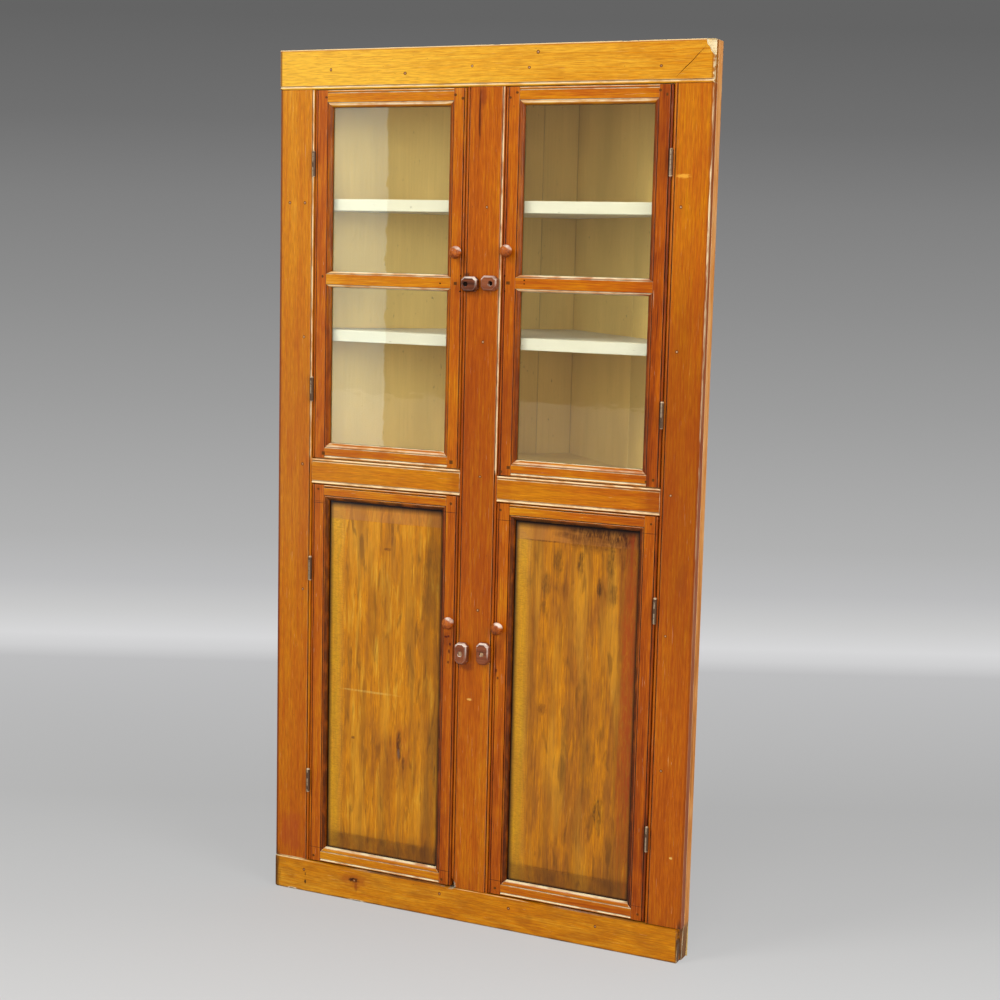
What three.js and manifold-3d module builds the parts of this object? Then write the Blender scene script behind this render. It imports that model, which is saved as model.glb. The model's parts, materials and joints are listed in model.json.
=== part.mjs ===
// Corner cupboard: two glazed doors above two panelled doors.
// Millimetres, +Z up. The front faces -Y and the right-angled back fits a room's corner.

import * as THREE from "three";
import { mergeVertices } from "three/addons/utils/BufferGeometryUtils.js";
import Module from "manifold-3d";

const wasm = await Module();
wasm.setup();

// Overall size
const cupboardWidth = 1098;
const cupboardHeight = 2100;
const sideDepth = 54;

// Face frame
const frameThickness = 22;
const leftStileWidth = 95;
const centreStileWidth = 97;
const rightStileWidth = 90;
const friezeHeight = 93;
const baseHeight = 83;
const boardProud = 4;
const baseShortEnd = 7;
const waistRailHeight = 62;
const waistTop = 1115;
const rightWaistDrop = 7;
const frameBeadWidth = 5.6;
const frameQuirkWidth = 2.2;
const frameQuirkDepth = 2.4;

// Walls, returns and horizontal boards
const wallThickness = 22;
const leftCornerPlankWidth = 96;
const rightCornerPlankWidth = 371;
const returnThickness = 22;
const boardThickness = 24;
const shelfThickness = 28;
const topBoardDrop = 41;
const bottomBoardRise = 43;
const waistBoardDrop = 8;
const upperShelfShares = [0.3626, 0.7131];
const lowerShelfShares = [0.393, 0.712];

// Door frames
const doorThickness = 21;
const doorStileWidth = 45;
const doorRailWidth = 38;
const glazedTopRailWidth = 41;
const doorBeadWidth = 5;
const doorQuirkWidth = 2.1;
const doorQuirkDepth = 1.9;
const mouldingWidth = 12.6;
const mouldingDepth = 10;
const mouldingLip = 0.7;
const mouldingTip = 1;
const hingeGap = 2.6;
const lockGap = 2.2;
const doorTopGap = 2.2;
const doorFootGap = 2.6;

// Glazing
const glazingBarWidth = 39;
const glazingBarMouldingWidth = 7;
const rebateWidth = 7;
const paneThickness = 3;
const paneMargin = 1.2;

// Raised panels
const grooveDepth = 9;
const tongueThickness = 6;
const tongueMargin = 1.5;
const panelBevelWidth = 44;
const panelBevelRise = 4.6;
const panelStep = 0.9;

// Mortise and tenon joints
const tenonLength = 25;
const tenonThickness = 7;
const tenonInset = 3;
const tenonSetback = 7;

// Knobs
const knobRadius = 15;
const knobStemRadius = 7.5;
const knobReach = 29;
const knobNeck = 8;
const knobWaistShare = 0.86;
const knobDowelRadius = 4.7;
const knobDowelEnd = 2;
const knobInset = 14;

// Turn buttons
const buttonThickness = 18;
const buttonFront = 5.5;
const buttonChamfer = 8;
const buttonEdge = 3.5;
const chamferSlopeShare = 0.4;
const upperButtonWidth = 35;
const upperButtonLength = 41.3;
const upperLeftButtonArm = 13;
const upperRightButtonArm = 15;
const upperLeftButtonInset = 12.5;
const upperRightButtonInset = 20.5;
const lowerButtonWidth = 32;
const lowerButtonArm = 26.3;
const lowerLeftButtonInset = 18.5;
const lowerRightButtonInset = 21;
const screwHeadRadius = 6;
const screwHeadDepth = 6;
const screwShankRadius = 2.6;

// Hinges
const hingeHeight = 56;
const barrelRadius = 4.7;
const barrelGroove = 0.5;
const leafThickness = 2;
const leafReach = 17;
const finialHeight = 3;

// Where each door carries its fittings, as shares of its height
const upperLeftShares = { hinges: [0.1909, 0.8041], bar: 0.4936, button: 0.493, knob: 0.5742 };
const upperRightShares = { hinges: [0.1848, 0.8101], bar: 0.5025, button: 0.5003, knob: 0.5842 };
const lowerLeftShares = { hinges: [0.217, 0.7816], button: 0.6088, knob: 0.682 };
const lowerRightShares = { hinges: [0.211, 0.7748], button: 0.6189, knob: 0.688 };

// Clearances
const seatGap = 0.3;
const joinGap = 0.4;
const faceGap = 0.5;
const overrun = 2;

// Smoothness of the rounded shapes
const beadSteps = 6;
const mouldingSteps = 5;
const roundSides = 14;
const knuckleCount = 5;

// Places that follow from the sizes
const halfWidth = cupboardWidth / 2;
const openingWidth = (cupboardWidth - leftStileWidth - centreStileWidth - rightStileWidth) / 2;
const leftOpeningLeft = -halfWidth + leftStileWidth;
const leftOpeningRight = leftOpeningLeft + openingWidth;
const rightOpeningLeft = leftOpeningRight + centreStileWidth;
const rightOpeningRight = rightOpeningLeft + openingWidth;
const friezeBottom = cupboardHeight - friezeHeight;
const rightWaistTop = waistTop - rightWaistDrop;
const outerReach = halfWidth + sideDepth;
const innerReach = outerReach - wallThickness * Math.SQRT2;
const waistBoardTop = waistTop - waistBoardDrop;
const bottomBoardTop = bottomBoardRise + boardThickness;
const doorFlatWidth = doorStileWidth - mouldingWidth;
const glassFront = mouldingDepth + mouldingTip + seatGap;
const tongueFront = mouldingDepth + mouldingTip + seatGap;
const xAxis = new THREE.Vector3(1, 0, 0);
const yAxis = new THREE.Vector3(0, 1, 0);
const zAxis = new THREE.Vector3(0, 0, 1);

// Finishes
const finish = (color, roughness, metalness = 0, opacity = 1) =>
  new THREE.MeshStandardMaterial({ color, roughness, metalness, opacity, transparent: opacity < 1 });
const honeyPine = finish(0xd78a24, 0.42);
const framePine = finish(0xb9661c, 0.42);
const doorPine = finish(0xb45f22, 0.42);
const panelPine = finish(0xb98024, 0.45);
const paintedPine = finish(0xb4ab7a, 0.7);
const creamPine = finish(0xf2ecce, 0.65);
const barePine = finish(0xc58b4a, 0.7);
const oldGlass = finish(0xdfe3d4, 0.05, 0, 0.25);
const turnedWood = finish(0x8e4a26, 0.35);
const forgedIron = finish(0x3c3531, 0.55, 0.8);

// An outline of [a, b] points drawn out to a length
function extrude(outline, length) {
  const shape = new THREE.Shape(outline.map(([a, b]) => new THREE.Vector2(a, b)));
  return new THREE.ExtrudeGeometry(shape, { depth: length, bevelEnabled: false });
}

// A plan outline of [x, y] points standing between two heights
function upright(outline, zLow, zHigh) {
  return extrude(outline, zHigh - zLow).translate(0, 0, zLow);
}

// A section of [y, z] points running across the cupboard
function lengthwise(section, xLow, xHigh) {
  const turn = new THREE.Matrix4().makeBasis(yAxis, zAxis, xAxis);
  return extrude(section, xHigh - xLow).applyMatrix4(turn).translate(xLow, 0, 0);
}

// A front view of [x, z] points running from front to back
function throughFront(outline, yLow, yHigh) {
  const turn = new THREE.Matrix4().makeBasis(xAxis, zAxis, yAxis.clone().negate());
  return extrude(outline, yHigh - yLow).applyMatrix4(turn).translate(0, yHigh, 0);
}

// A straight block between two corners
function block([xLow, yLow, zLow], [xHigh, yHigh, zHigh]) {
  const box = new THREE.BoxGeometry(xHigh - xLow, yHigh - yLow, zHigh - zLow);
  return box.translate((xLow + xHigh) / 2, (yLow + yHigh) / 2, (zLow + zHigh) / 2);
}

// A round bar along Y
function roundBar(radius, x, z, yLow, yHigh) {
  const bar = new THREE.CylinderGeometry(radius, radius, yHigh - yLow, roundSides);
  return bar.translate(x, (yLow + yHigh) / 2, z);
}

// A geometry with shared corners and no collapsed triangles
function welded(geometry) {
  const bare = new THREE.BufferGeometry();
  bare.setAttribute("position", geometry.getAttribute("position").clone());
  bare.setIndex(geometry.getIndex());
  const merged = mergeVertices(bare);
  const corners = merged.getIndex().array;
  const kept = [];
  for (let i = 0; i < corners.length; i += 3) {
    const [a, b, c] = corners.slice(i, i + 3);
    if (a !== b && b !== c && c !== a) kept.push(a, b, c);
  }
  merged.setIndex(kept);
  return merged;
}

// The same body with its faces pointing out
function outward(geometry) {
  const place = geometry.getAttribute("position");
  const index = geometry.getIndex();
  const [a, b, c] = [0, 1, 2].map(() => new THREE.Vector3());
  let volume = 0;
  for (let i = 0; i < index.count; i += 3) {
    a.fromBufferAttribute(place, index.getX(i));
    b.fromBufferAttribute(place, index.getX(i + 1));
    c.fromBufferAttribute(place, index.getX(i + 2));
    volume += a.dot(b.cross(c));
  }
  if (volume < 0) geometry.setIndex(Array.from(index.array).reverse());
  return geometry;
}

// Solids for joining and cutting
function solidOf(geometry) {
  const body = outward(welded(geometry));
  const vertProperties = body.getAttribute("position").array;
  const triVerts = Uint32Array.from(body.getIndex().array);
  return new wasm.Manifold(new wasm.Mesh({ numProp: 3, vertProperties, triVerts }));
}

function geometryOf(solid) {
  const { vertProperties, triVerts } = solid.getMesh();
  const geometry = new THREE.BufferGeometry();
  geometry.setAttribute("position", new THREE.BufferAttribute(vertProperties, 3));
  geometry.setIndex(new THREE.BufferAttribute(triVerts, 1));
  return geometry;
}

const common = (first, second) => geometryOf(solidOf(first).intersect(solidOf(second)));
const joined = (first, second) => geometryOf(solidOf(first).add(solidOf(second)));
const cut = (body, ...tools) =>
  geometryOf(tools.reduce((solid, tool) => solid.subtract(solidOf(tool)), solidOf(body)));

// A named piece
function piece(name, geometry, material) {
  const mesh = new THREE.Mesh(outward(welded(geometry)), material);
  mesh.geometry.computeVertexNormals();
  mesh.name = name;
  return mesh;
}

// Edge contours run from the back face to the front face as [in from the edge, depth] points.

function squareEdge(thickness) {
  return [[0, thickness], [0, 0]];
}

// A half-round bead with a sunk quirk beside it
function beadEdge(thickness, width, quirkWidth, quirkDepth) {
  const radius = width / 2;
  const endAngle = Math.asin(1 - quirkDepth / radius);
  const arc = [];
  for (let i = 0; i <= beadSteps; i += 1) {
    const angle = Math.PI - (i / beadSteps) * (Math.PI - endAngle);
    arc.push([radius + radius * Math.cos(angle), radius - radius * Math.sin(angle)]);
  }
  const quirkEnd = width + quirkWidth;
  return [[0, thickness], ...arc, [quirkEnd, quirkDepth], [quirkEnd, 0]];
}

const frameBead = (thickness) =>
  beadEdge(thickness, frameBeadWidth, frameQuirkWidth, frameQuirkDepth);
const doorBead = () =>
  beadEdge(doorThickness, doorBeadWidth, doorQuirkWidth, doorQuirkDepth);

// The rounded moulding that slopes down to a pane or a panel
function mouldingSlope(width) {
  const run = width - doorQuirkWidth;
  const slope = [];
  for (let i = 0; i <= mouldingSteps; i += 1) {
    const angle = (i / mouldingSteps) * (Math.PI / 2);
    const across = run * (1 - Math.cos(angle));
    const depth = mouldingDepth - (mouldingDepth - mouldingLip) * Math.sin(angle);
    slope.push([across, depth]);
  }
  return [...slope, [run, doorQuirkDepth], [width, doorQuirkDepth], [width, 0]];
}

function glassEdge(width) {
  const tip = mouldingDepth + mouldingTip;
  return [[rebateWidth, doorThickness], [rebateWidth, tip], [0, tip], ...mouldingSlope(width)];
}

function panelEdge(width) {
  const front = tongueFront - seatGap;
  const back = tongueFront + tongueThickness + seatGap;
  const groove = [[0, back], [grooveDepth, back], [grooveDepth, front], [0, front]];
  return [[0, doorThickness], ...groove, ...mouldingSlope(width)];
}

// A closed section of [across, depth] points from its two edge contours
function section(width, lowEdge, highEdge) {
  const far = highEdge.map(([across, depth]) => [width - across, depth]).reverse();
  return [...lowEdge, ...far];
}

// A member of the face frame standing upright, its section laid in plan
function frameStile(name, xLow, width, lowEdge, highEdge) {
  const plan = section(width, lowEdge, highEdge).map(([across, depth]) => [xLow + across, depth]);
  return piece(name, upright(plan, baseHeight, friezeBottom), framePine);
}

// A member of the face frame lying across, with its front face set forward by proud
function frameRail(name, [xLow, xHigh], zLow, height, proud, edges) {
  const side = section(height, edges[0], edges[1]);
  const placed = side.map(([across, depth]) => [depth - proud, zLow + across]);
  return piece(name, lengthwise(placed, xLow, xHigh), honeyPine);
}

function faceFrame() {
  const bead = frameBead(frameThickness);
  const plain = squareEdge(frameThickness);
  const thick = frameThickness + boardProud;
  const across = [-halfWidth, halfWidth];
  const leftRail = [leftOpeningLeft + seatGap, leftOpeningRight - seatGap];
  const rightRail = [rightOpeningLeft + seatGap, rightOpeningRight - seatGap];
  const baseAcross = [-halfWidth, halfWidth - baseShortEnd];
  const group = new THREE.Group();
  group.add(
    frameStile("left_stile", -halfWidth, leftStileWidth, plain, bead),
    frameStile("centre_stile", leftOpeningRight, centreStileWidth, bead, bead),
    frameStile("right_stile", rightOpeningRight, rightStileWidth, bead, plain),
    frameRail("frieze_board", across, friezeBottom, friezeHeight, boardProud,
      [frameBead(thick), squareEdge(thick)]),
    frameRail("base_board", baseAcross, 0, baseHeight, boardProud,
      [squareEdge(thick), squareEdge(thick)]),
    frameRail("left_waist_rail", leftRail, waistTop - waistRailHeight, waistRailHeight, 0,
      [bead, bead]),
    frameRail("right_waist_rail", rightRail, rightWaistTop - waistRailHeight, waistRailHeight, 0,
      [bead, bead]),
  );
  return group;
}

// The narrow side boards between the face frame and the walls
function sideReturn(name, side) {
  const outer = side * halfWidth;
  const inner = side * (halfWidth - returnThickness);
  const [front, back] = [frameThickness, sideDepth];
  const plan = [[outer, front], [inner, front], [inner, back], [outer, back]];
  return piece(name, upright(plan, 0, cupboardHeight), barePine);
}

// A point of a wall in plan: along it from the inner corner, and out from its inner face
function wallPoint(side, along, out) {
  return [side * (along + out) / Math.SQRT2, innerReach + (out - along) / Math.SQRT2];
}

// Each wall is two upright planks, and the right one laps the end of the left one
function wallPlanks(sideName, side, start, joint) {
  const corner = [
    wallPoint(side, start, 0),
    wallPoint(side, joint, 0),
    wallPoint(side, joint, wallThickness),
    wallPoint(side, start, wallThickness),
  ];
  const front = [
    wallPoint(side, joint + seatGap, 0),
    [side * (innerReach - sideDepth), sideDepth],
    [side * (outerReach - sideDepth), sideDepth],
    wallPoint(side, joint + seatGap, wallThickness),
  ];
  return [
    piece(`${sideName}_wall_corner_plank`, upright(corner, 0, cupboardHeight), paintedPine),
    piece(`${sideName}_wall_front_plank`, upright(front, 0, cupboardHeight), paintedPine),
  ];
}

// A horizontal board that fills the plan inside the walls
function planBoard(name, top, thickness, material) {
  const side = halfWidth - returnThickness - seatGap;
  const reach = innerReach - seatGap * Math.SQRT2;
  const plan = [
    [-side, frameThickness],
    [side, frameThickness],
    [side, reach - side],
    [0, reach],
    [-side, reach - side],
  ];
  return piece(name, upright(plan, top - thickness, top), material);
}

function horizontalBoards() {
  const upperRoom = friezeBottom - waistBoardTop;
  const lowerRoom = waistBoardTop - boardThickness - bottomBoardTop;
  const [upperLow, upperHigh] = upperShelfShares.map((share) => waistBoardTop + share * upperRoom);
  const [lowerLow, lowerHigh] = lowerShelfShares.map((share) => bottomBoardTop + share * lowerRoom);
  const topBoardTop = cupboardHeight - topBoardDrop;
  const group = new THREE.Group();
  group.add(
    planBoard("top_board", topBoardTop, boardThickness, paintedPine),
    planBoard("upper_high_shelf", upperHigh, shelfThickness, creamPine),
    planBoard("upper_low_shelf", upperLow, shelfThickness, creamPine),
    planBoard("waist_board", waistBoardTop, boardThickness, paintedPine),
    planBoard("lower_high_shelf", lowerHigh, boardThickness, paintedPine),
    planBoard("lower_low_shelf", lowerLow, boardThickness, paintedPine),
    planBoard("bottom_board", bottomBoardTop, boardThickness, paintedPine),
  );
  return group;
}

// A door is measured from its hinge edge towards its lock edge.
function doorPlan(name, side, low, high, rails, shares) {
  const hingeSide = side < 0 ? leftOpeningLeft : rightOpeningRight;
  const hingeEdge = hingeSide - side * hingeGap;
  return {
    name,
    side,
    low: low + doorFootGap,
    high: high - doorTopGap,
    width: openingWidth - hingeGap - lockGap,
    rails,
    shares,
    x: (across) => hingeEdge - side * across,
    jointX: hingeSide - (side * hingeGap) / 2,
  };
}

const heightAt = (door, share) => door.low + share * (door.high - door.low);
const isGlazed = (door) => "bar" in door.shares;

// The openings between a door's rails, each with the width of the moulding above and below it
function doorLights(door) {
  const low = door.low + door.rails.foot;
  const high = door.high - door.rails.head;
  const whole = { low, high, lowMoulding: mouldingWidth, highMoulding: mouldingWidth };
  if (!isGlazed(door)) return [whole];
  const barLow = heightAt(door, door.shares.bar) - glazingBarWidth / 2;
  return [
    { ...whole, high: barLow, highMoulding: glazingBarMouldingWidth },
    { ...whole, low: barLow + glazingBarWidth, lowMoulding: glazingBarMouldingWidth },
  ];
}

// The front view of a stile: its flat strip, and its moulding beside each opening
function stileOutline(door) {
  const outline = [[0, door.low], [doorFlatWidth, door.low]];
  for (const light of doorLights(door)) {
    outline.push(
      [doorFlatWidth, light.low - light.lowMoulding],
      [doorStileWidth, light.low],
      [doorStileWidth, light.high],
      [doorFlatWidth, light.high + light.highMoulding],
    );
  }
  return [...outline, [doorFlatWidth, door.high], [0, door.high]];
}

// A block in a door, given by its reach across, its depth and its height
function doorBlock(door, [from, to], depths, heights) {
  const [xLow, xHigh] = [door.x(from), door.x(to)].sort((a, b) => a - b);
  return block([xLow, depths[0], heights[0]], [xHigh, depths[1], heights[1]]);
}

// Where each rail's tenon lies in height
function tenonHeights(door) {
  const lights = doorLights(door);
  const edges = lights.flatMap((light) =>
    [light.low - light.lowMoulding, light.high + light.highMoulding]);
  const levels = [door.low, ...edges, door.high];
  const heights = [];
  for (let i = 0; i < levels.length; i += 2) {
    heights.push([levels[i] + tenonInset, levels[i + 1] - tenonInset]);
  }
  return heights;
}

function doorStile(door, role, edge, knobHeight) {
  const fromHinge = role === "hinge";
  const place = (across) => door.x(fromHinge ? across : door.width - across);
  const plan = section(doorStileWidth, doorBead(), edge(mouldingWidth));
  const whole = upright(plan.map(([across, depth]) => [place(across), depth]), door.low, door.high);
  const outline = stileOutline(door).map(([across, z]) => [place(across), z]);
  const shaped = common(whole, throughFront(outline, -overrun, doorThickness + overrun));
  const reach = [doorFlatWidth - tenonLength - seatGap, doorStileWidth];
  const tools = tenonHeights(door).map(([low, high]) => doorBlock(
    door,
    fromHinge ? reach : reach.map((across) => door.width - across),
    [tenonSetback - seatGap, tenonSetback + tenonThickness + seatGap],
    [low - seatGap, high + seatGap],
  ));
  if (!fromHinge) {
    const radius = knobDowelRadius + seatGap;
    tools.push(roundBar(radius, door.x(door.width - knobInset), knobHeight,
      -overrun, doorThickness + overrun));
  }
  return piece(`${door.name}_${role}_stile`, cut(shaped, ...tools), doorPine);
}

// A rail or bar with a tenon at each end
function doorRail(door, role, [low, high], edges, mouldings, heights) {
  const [lowMoulding, highMoulding] = mouldings;
  const side = section(high - low, edges[0], edges[1]);
  const placed = side.map(([across, depth]) => [depth, low + across]);
  const [xLow, xHigh] = [door.x(0), door.x(door.width)].sort((a, b) => a - b);
  const whole = lengthwise(placed, xLow, xHigh);
  const flat = doorFlatWidth + joinGap;
  const tip = doorStileWidth + joinGap;
  const half = [
    ...(lowMoulding ? [[tip, low]] : []),
    [flat, low + lowMoulding],
    [flat, high - highMoulding],
    ...(highMoulding ? [[tip, high]] : []),
  ];
  const mirrored = half.map(([across, z]) => [door.width - across, z]).reverse();
  const outline = [...half, ...mirrored].map(([across, z]) => [door.x(across), z]);
  const shaped = common(whole, throughFront(outline, -overrun, doorThickness + overrun));
  const reach = doorFlatWidth - tenonLength;
  const tenon = doorBlock(door, [reach, door.width - reach],
    [tenonSetback, tenonSetback + tenonThickness], heights);
  return piece(`${door.name}_${role}`, joined(shaped, tenon), doorPine);
}

function doorRails(door, edge) {
  const lights = doorLights(door);
  const tenons = tenonHeights(door);
  const [first, last] = [lights[0], lights[lights.length - 1]];
  const rails = [
    doorRail(door, "foot_rail", [door.low, first.low],
      [doorBead(), edge(mouldingWidth)], [0, mouldingWidth], tenons[0]),
    doorRail(door, "head_rail", [last.high, door.high],
      [edge(mouldingWidth), doorBead()], [mouldingWidth, 0], tenons[tenons.length - 1]),
  ];
  if (isGlazed(door)) {
    const barEdge = edge(glazingBarMouldingWidth);
    rails.push(doorRail(door, "glazing_bar", [first.high, last.low],
      [barEdge, barEdge], [glazingBarMouldingWidth, glazingBarMouldingWidth], tenons[1]));
  }
  return rails;
}

// A solid drawn through a stack of outlines of [x, z] points, each at its own depth
function lofted(rings) {
  const flat = rings[0].outline.map(([x, z]) => new THREE.Vector2(x, z));
  const clockwise = THREE.ShapeUtils.isClockWise(flat);
  if (clockwise) flat.reverse();
  const count = flat.length;
  const points = rings.flatMap(({ outline, y }) => {
    const ordered = clockwise ? [...outline].reverse() : outline;
    return ordered.map(([x, z]) => [x, y, z]);
  });
  const triangles = [];
  for (let ring = 0; ring + 1 < rings.length; ring += 1) {
    for (let i = 0; i < count; i += 1) {
      const a = ring * count + i;
      const b = ring * count + ((i + 1) % count);
      triangles.push(a, b, a + count, b, b + count, a + count);
    }
  }
  const last = (rings.length - 1) * count;
  for (const [a, b, c] of THREE.ShapeUtils.triangulateShape(flat, [])) {
    triangles.push(c, b, a, last + a, last + b, last + c);
  }
  const geometry = new THREE.BufferGeometry();
  geometry.setAttribute("position", new THREE.Float32BufferAttribute(points.flat(), 3));
  geometry.setIndex(triangles);
  return geometry;
}

// The [x, z] corners of a rectangle drawn in from a door's opening
function lightRectangle(door, light, inset) {
  const [from, to] = [doorStileWidth + inset, door.width - doorStileWidth - inset];
  const [low, high] = [light.low + inset, light.high - inset];
  return [[from, low], [to, low], [to, high], [from, high]].map(([across, z]) => [door.x(across), z]);
}

function panes(door) {
  const names = ["lower_pane", "upper_pane"];
  return doorLights(door).map((light, i) => {
    const outline = lightRectangle(door, light, paneMargin - rebateWidth);
    const sheet = throughFront(outline, glassFront, glassFront + paneThickness);
    return piece(`${door.name}_${names[i]}`, sheet, oldGlass);
  });
}

// A raised panel: tongue, sloping bevel, small step and flat field
function raisedPanel(door) {
  const [light] = doorLights(door);
  const ring = (inset, y) => ({ outline: lightRectangle(door, light, inset), y });
  const tongue = tongueMargin - grooveDepth;
  const field = tongueFront - panelBevelRise;
  const rings = [
    ring(tongue, tongueFront + tongueThickness),
    ring(tongue, tongueFront),
    ring(0, tongueFront),
    ring(panelBevelWidth, field),
    ring(panelBevelWidth + panelStep, field - panelStep),
  ];
  return piece(`${door.name}_panel`, lofted(rings), panelPine);
}

// A turned mushroom knob whose dowel passes through the lock stile
function knob(door, height) {
  const bulge = knobReach - knobNeck;
  const middle = (knobReach + knobNeck) / 2;
  const profile = [
    [0, doorThickness - knobDowelEnd],
    [knobDowelRadius, doorThickness - knobDowelEnd],
    [knobDowelRadius, -seatGap],
    [knobStemRadius, -seatGap],
    [knobStemRadius * knobWaistShare, -knobNeck / 2],
    [knobStemRadius, -knobNeck],
  ];
  const start = -Math.PI / 4;
  for (let i = 0; i <= 2 * mouldingSteps; i += 1) {
    const angle = start + (i / (2 * mouldingSteps)) * (Math.PI / 2 - start);
    const out = Math.max(0, knobRadius * Math.cos(angle));
    profile.push([out, -middle - (bulge / 2) * Math.sin(angle)]);
  }
  profile[profile.length - 1][0] = 0;
  const turned = new THREE.LatheGeometry(
    profile.map(([radius, y]) => new THREE.Vector2(radius, y)), roundSides);
  turned.translate(door.x(door.width - knobInset), 0, height);
  return piece(`${door.name}_knob`, turned, turnedWood);
}

function doorPieces(door) {
  const edge = isGlazed(door) ? glassEdge : panelEdge;
  const knobHeight = heightAt(door, door.shares.knob);
  const group = new THREE.Group();
  group.add(
    doorStile(door, "hinge", edge, knobHeight),
    doorStile(door, "lock", edge, knobHeight),
    ...doorRails(door, edge),
    ...(isGlazed(door) ? panes(door) : [raisedPanel(door)]),
    knob(door, knobHeight),
  );
  return group;
}

// An iron butt hinge: a barrel in front of the gap, with its leaf let in beside the door
function hinge(door, name, height) {
  const low = height - hingeHeight / 2;
  const step = hingeHeight / knuckleCount;
  const waist = barrelRadius - barrelGroove;
  const profile = [[0, -finialHeight], [barrelRadius / 2, -finialHeight], [barrelRadius, 0]];
  for (let i = 1; i < knuckleCount; i += 1) {
    const at = i * step;
    profile.push([barrelRadius, at - barrelGroove], [waist, at], [barrelRadius, at + barrelGroove]);
  }
  profile.push(
    [barrelRadius, hingeHeight],
    [barrelRadius / 2, hingeHeight + finialHeight],
    [0, hingeHeight + finialHeight],
  );
  const barrel = new THREE.LatheGeometry(
    profile.map(([radius, z]) => new THREE.Vector2(radius, z)), roundSides);
  barrel.rotateX(Math.PI / 2).translate(door.jointX, -barrelRadius - faceGap, low);
  const leaf = block(
    [door.jointX - leafThickness / 2, -barrelRadius - faceGap, low],
    [door.jointX + leafThickness / 2, leafReach, low + hingeHeight],
  );
  return piece(name, joined(barrel, leaf), forgedIron);
}

// A whittled wooden turn button with cut corners and a sunk hole for its screw
function turnButton(name, pivot, reach, halfHeight) {
  const corners = (inset) => {
    const cutBack = buttonChamfer - inset * chamferSlopeShare;
    const [left, right] = [pivot.x - reach.left + inset, pivot.x + reach.right - inset];
    const [low, high] = [pivot.z - halfHeight + inset, pivot.z + halfHeight - inset];
    return [
      [left + cutBack, low], [right - cutBack, low], [right, low + cutBack], [right, high - cutBack],
      [right - cutBack, high], [left + cutBack, high], [left, high - cutBack], [left, low + cutBack],
    ];
  };
  const back = -faceGap;
  const front = back - buttonThickness;
  const body = lofted([
    { outline: corners(0), y: back },
    { outline: corners(0), y: front + buttonFront },
    { outline: corners(buttonEdge), y: front },
  ]);
  const shank = roundBar(screwShankRadius, pivot.x, pivot.z, front - overrun, overrun);
  const head = roundBar(screwHeadRadius, pivot.x, pivot.z, front - overrun, front + screwHeadDepth);
  return piece(name, cut(body, shank, head), turnedWood);
}

// The centre stile carries one button beside each door, its reach given towards the door and away
function doorButton(door, inset, towards, away, width) {
  const onLeft = door.side < 0;
  const x = onLeft ? leftOpeningRight + inset : rightOpeningLeft - inset;
  const reach = onLeft ? { left: towards, right: away } : { left: away, right: towards };
  const pivot = { x, z: heightAt(door, door.shares.button) };
  return turnButton(`${door.name}_turn_button`, pivot, reach, width);
}

function turnButtons([upperLeft, upperRight, lowerLeft, lowerRight]) {
  const upperHalf = upperButtonWidth / 2;
  const lowerHalf = lowerButtonWidth / 2;
  const upper = (door, inset, arm) =>
    doorButton(door, inset, arm, upperButtonLength - arm, upperHalf);
  const lower = (door, inset) => doorButton(door, inset, lowerHalf, lowerHalf, lowerButtonArm);
  return [
    upper(upperLeft, upperLeftButtonInset, upperLeftButtonArm),
    upper(upperRight, upperRightButtonInset, upperRightButtonArm),
    lower(lowerLeft, lowerLeftButtonInset),
    lower(lowerRight, lowerRightButtonInset),
  ];
}

function doors() {
  const glazed = { foot: doorRailWidth, head: glazedTopRailWidth };
  const panelled = { foot: doorRailWidth, head: doorRailWidth };
  const leftRailFoot = waistTop - waistRailHeight;
  const rightRailFoot = rightWaistTop - waistRailHeight;
  return [
    doorPlan("upper_left_door", -1, waistTop, friezeBottom, glazed, upperLeftShares),
    doorPlan("upper_right_door", 1, rightWaistTop, friezeBottom, glazed, upperRightShares),
    doorPlan("lower_left_door", -1, baseHeight, leftRailFoot, panelled, lowerLeftShares),
    doorPlan("lower_right_door", 1, baseHeight, rightRailFoot, panelled, lowerRightShares),
  ];
}

function cornerCupboard() {
  const allDoors = doors();
  const group = new THREE.Group();
  group.add(
    faceFrame(),
    sideReturn("left_return", -1),
    sideReturn("right_return", 1),
    ...wallPlanks("left", -1, seatGap, leftCornerPlankWidth),
    ...wallPlanks("right", 1, -wallThickness, rightCornerPlankWidth),
    horizontalBoards(),
  );
  for (const door of allDoors) {
    const [low, high] = door.shares.hinges;
    group.add(
      doorPieces(door),
      hinge(door, `${door.name}_low_hinge`, heightAt(door, low)),
      hinge(door, `${door.name}_high_hinge`, heightAt(door, high)),
    );
  }
  group.add(...turnButtons(allDoors));
  return group;
}

export default cornerCupboard();
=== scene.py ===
import json
import math
import random

import bmesh
import bpy
from mathutils import Matrix, Vector, noise

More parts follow.
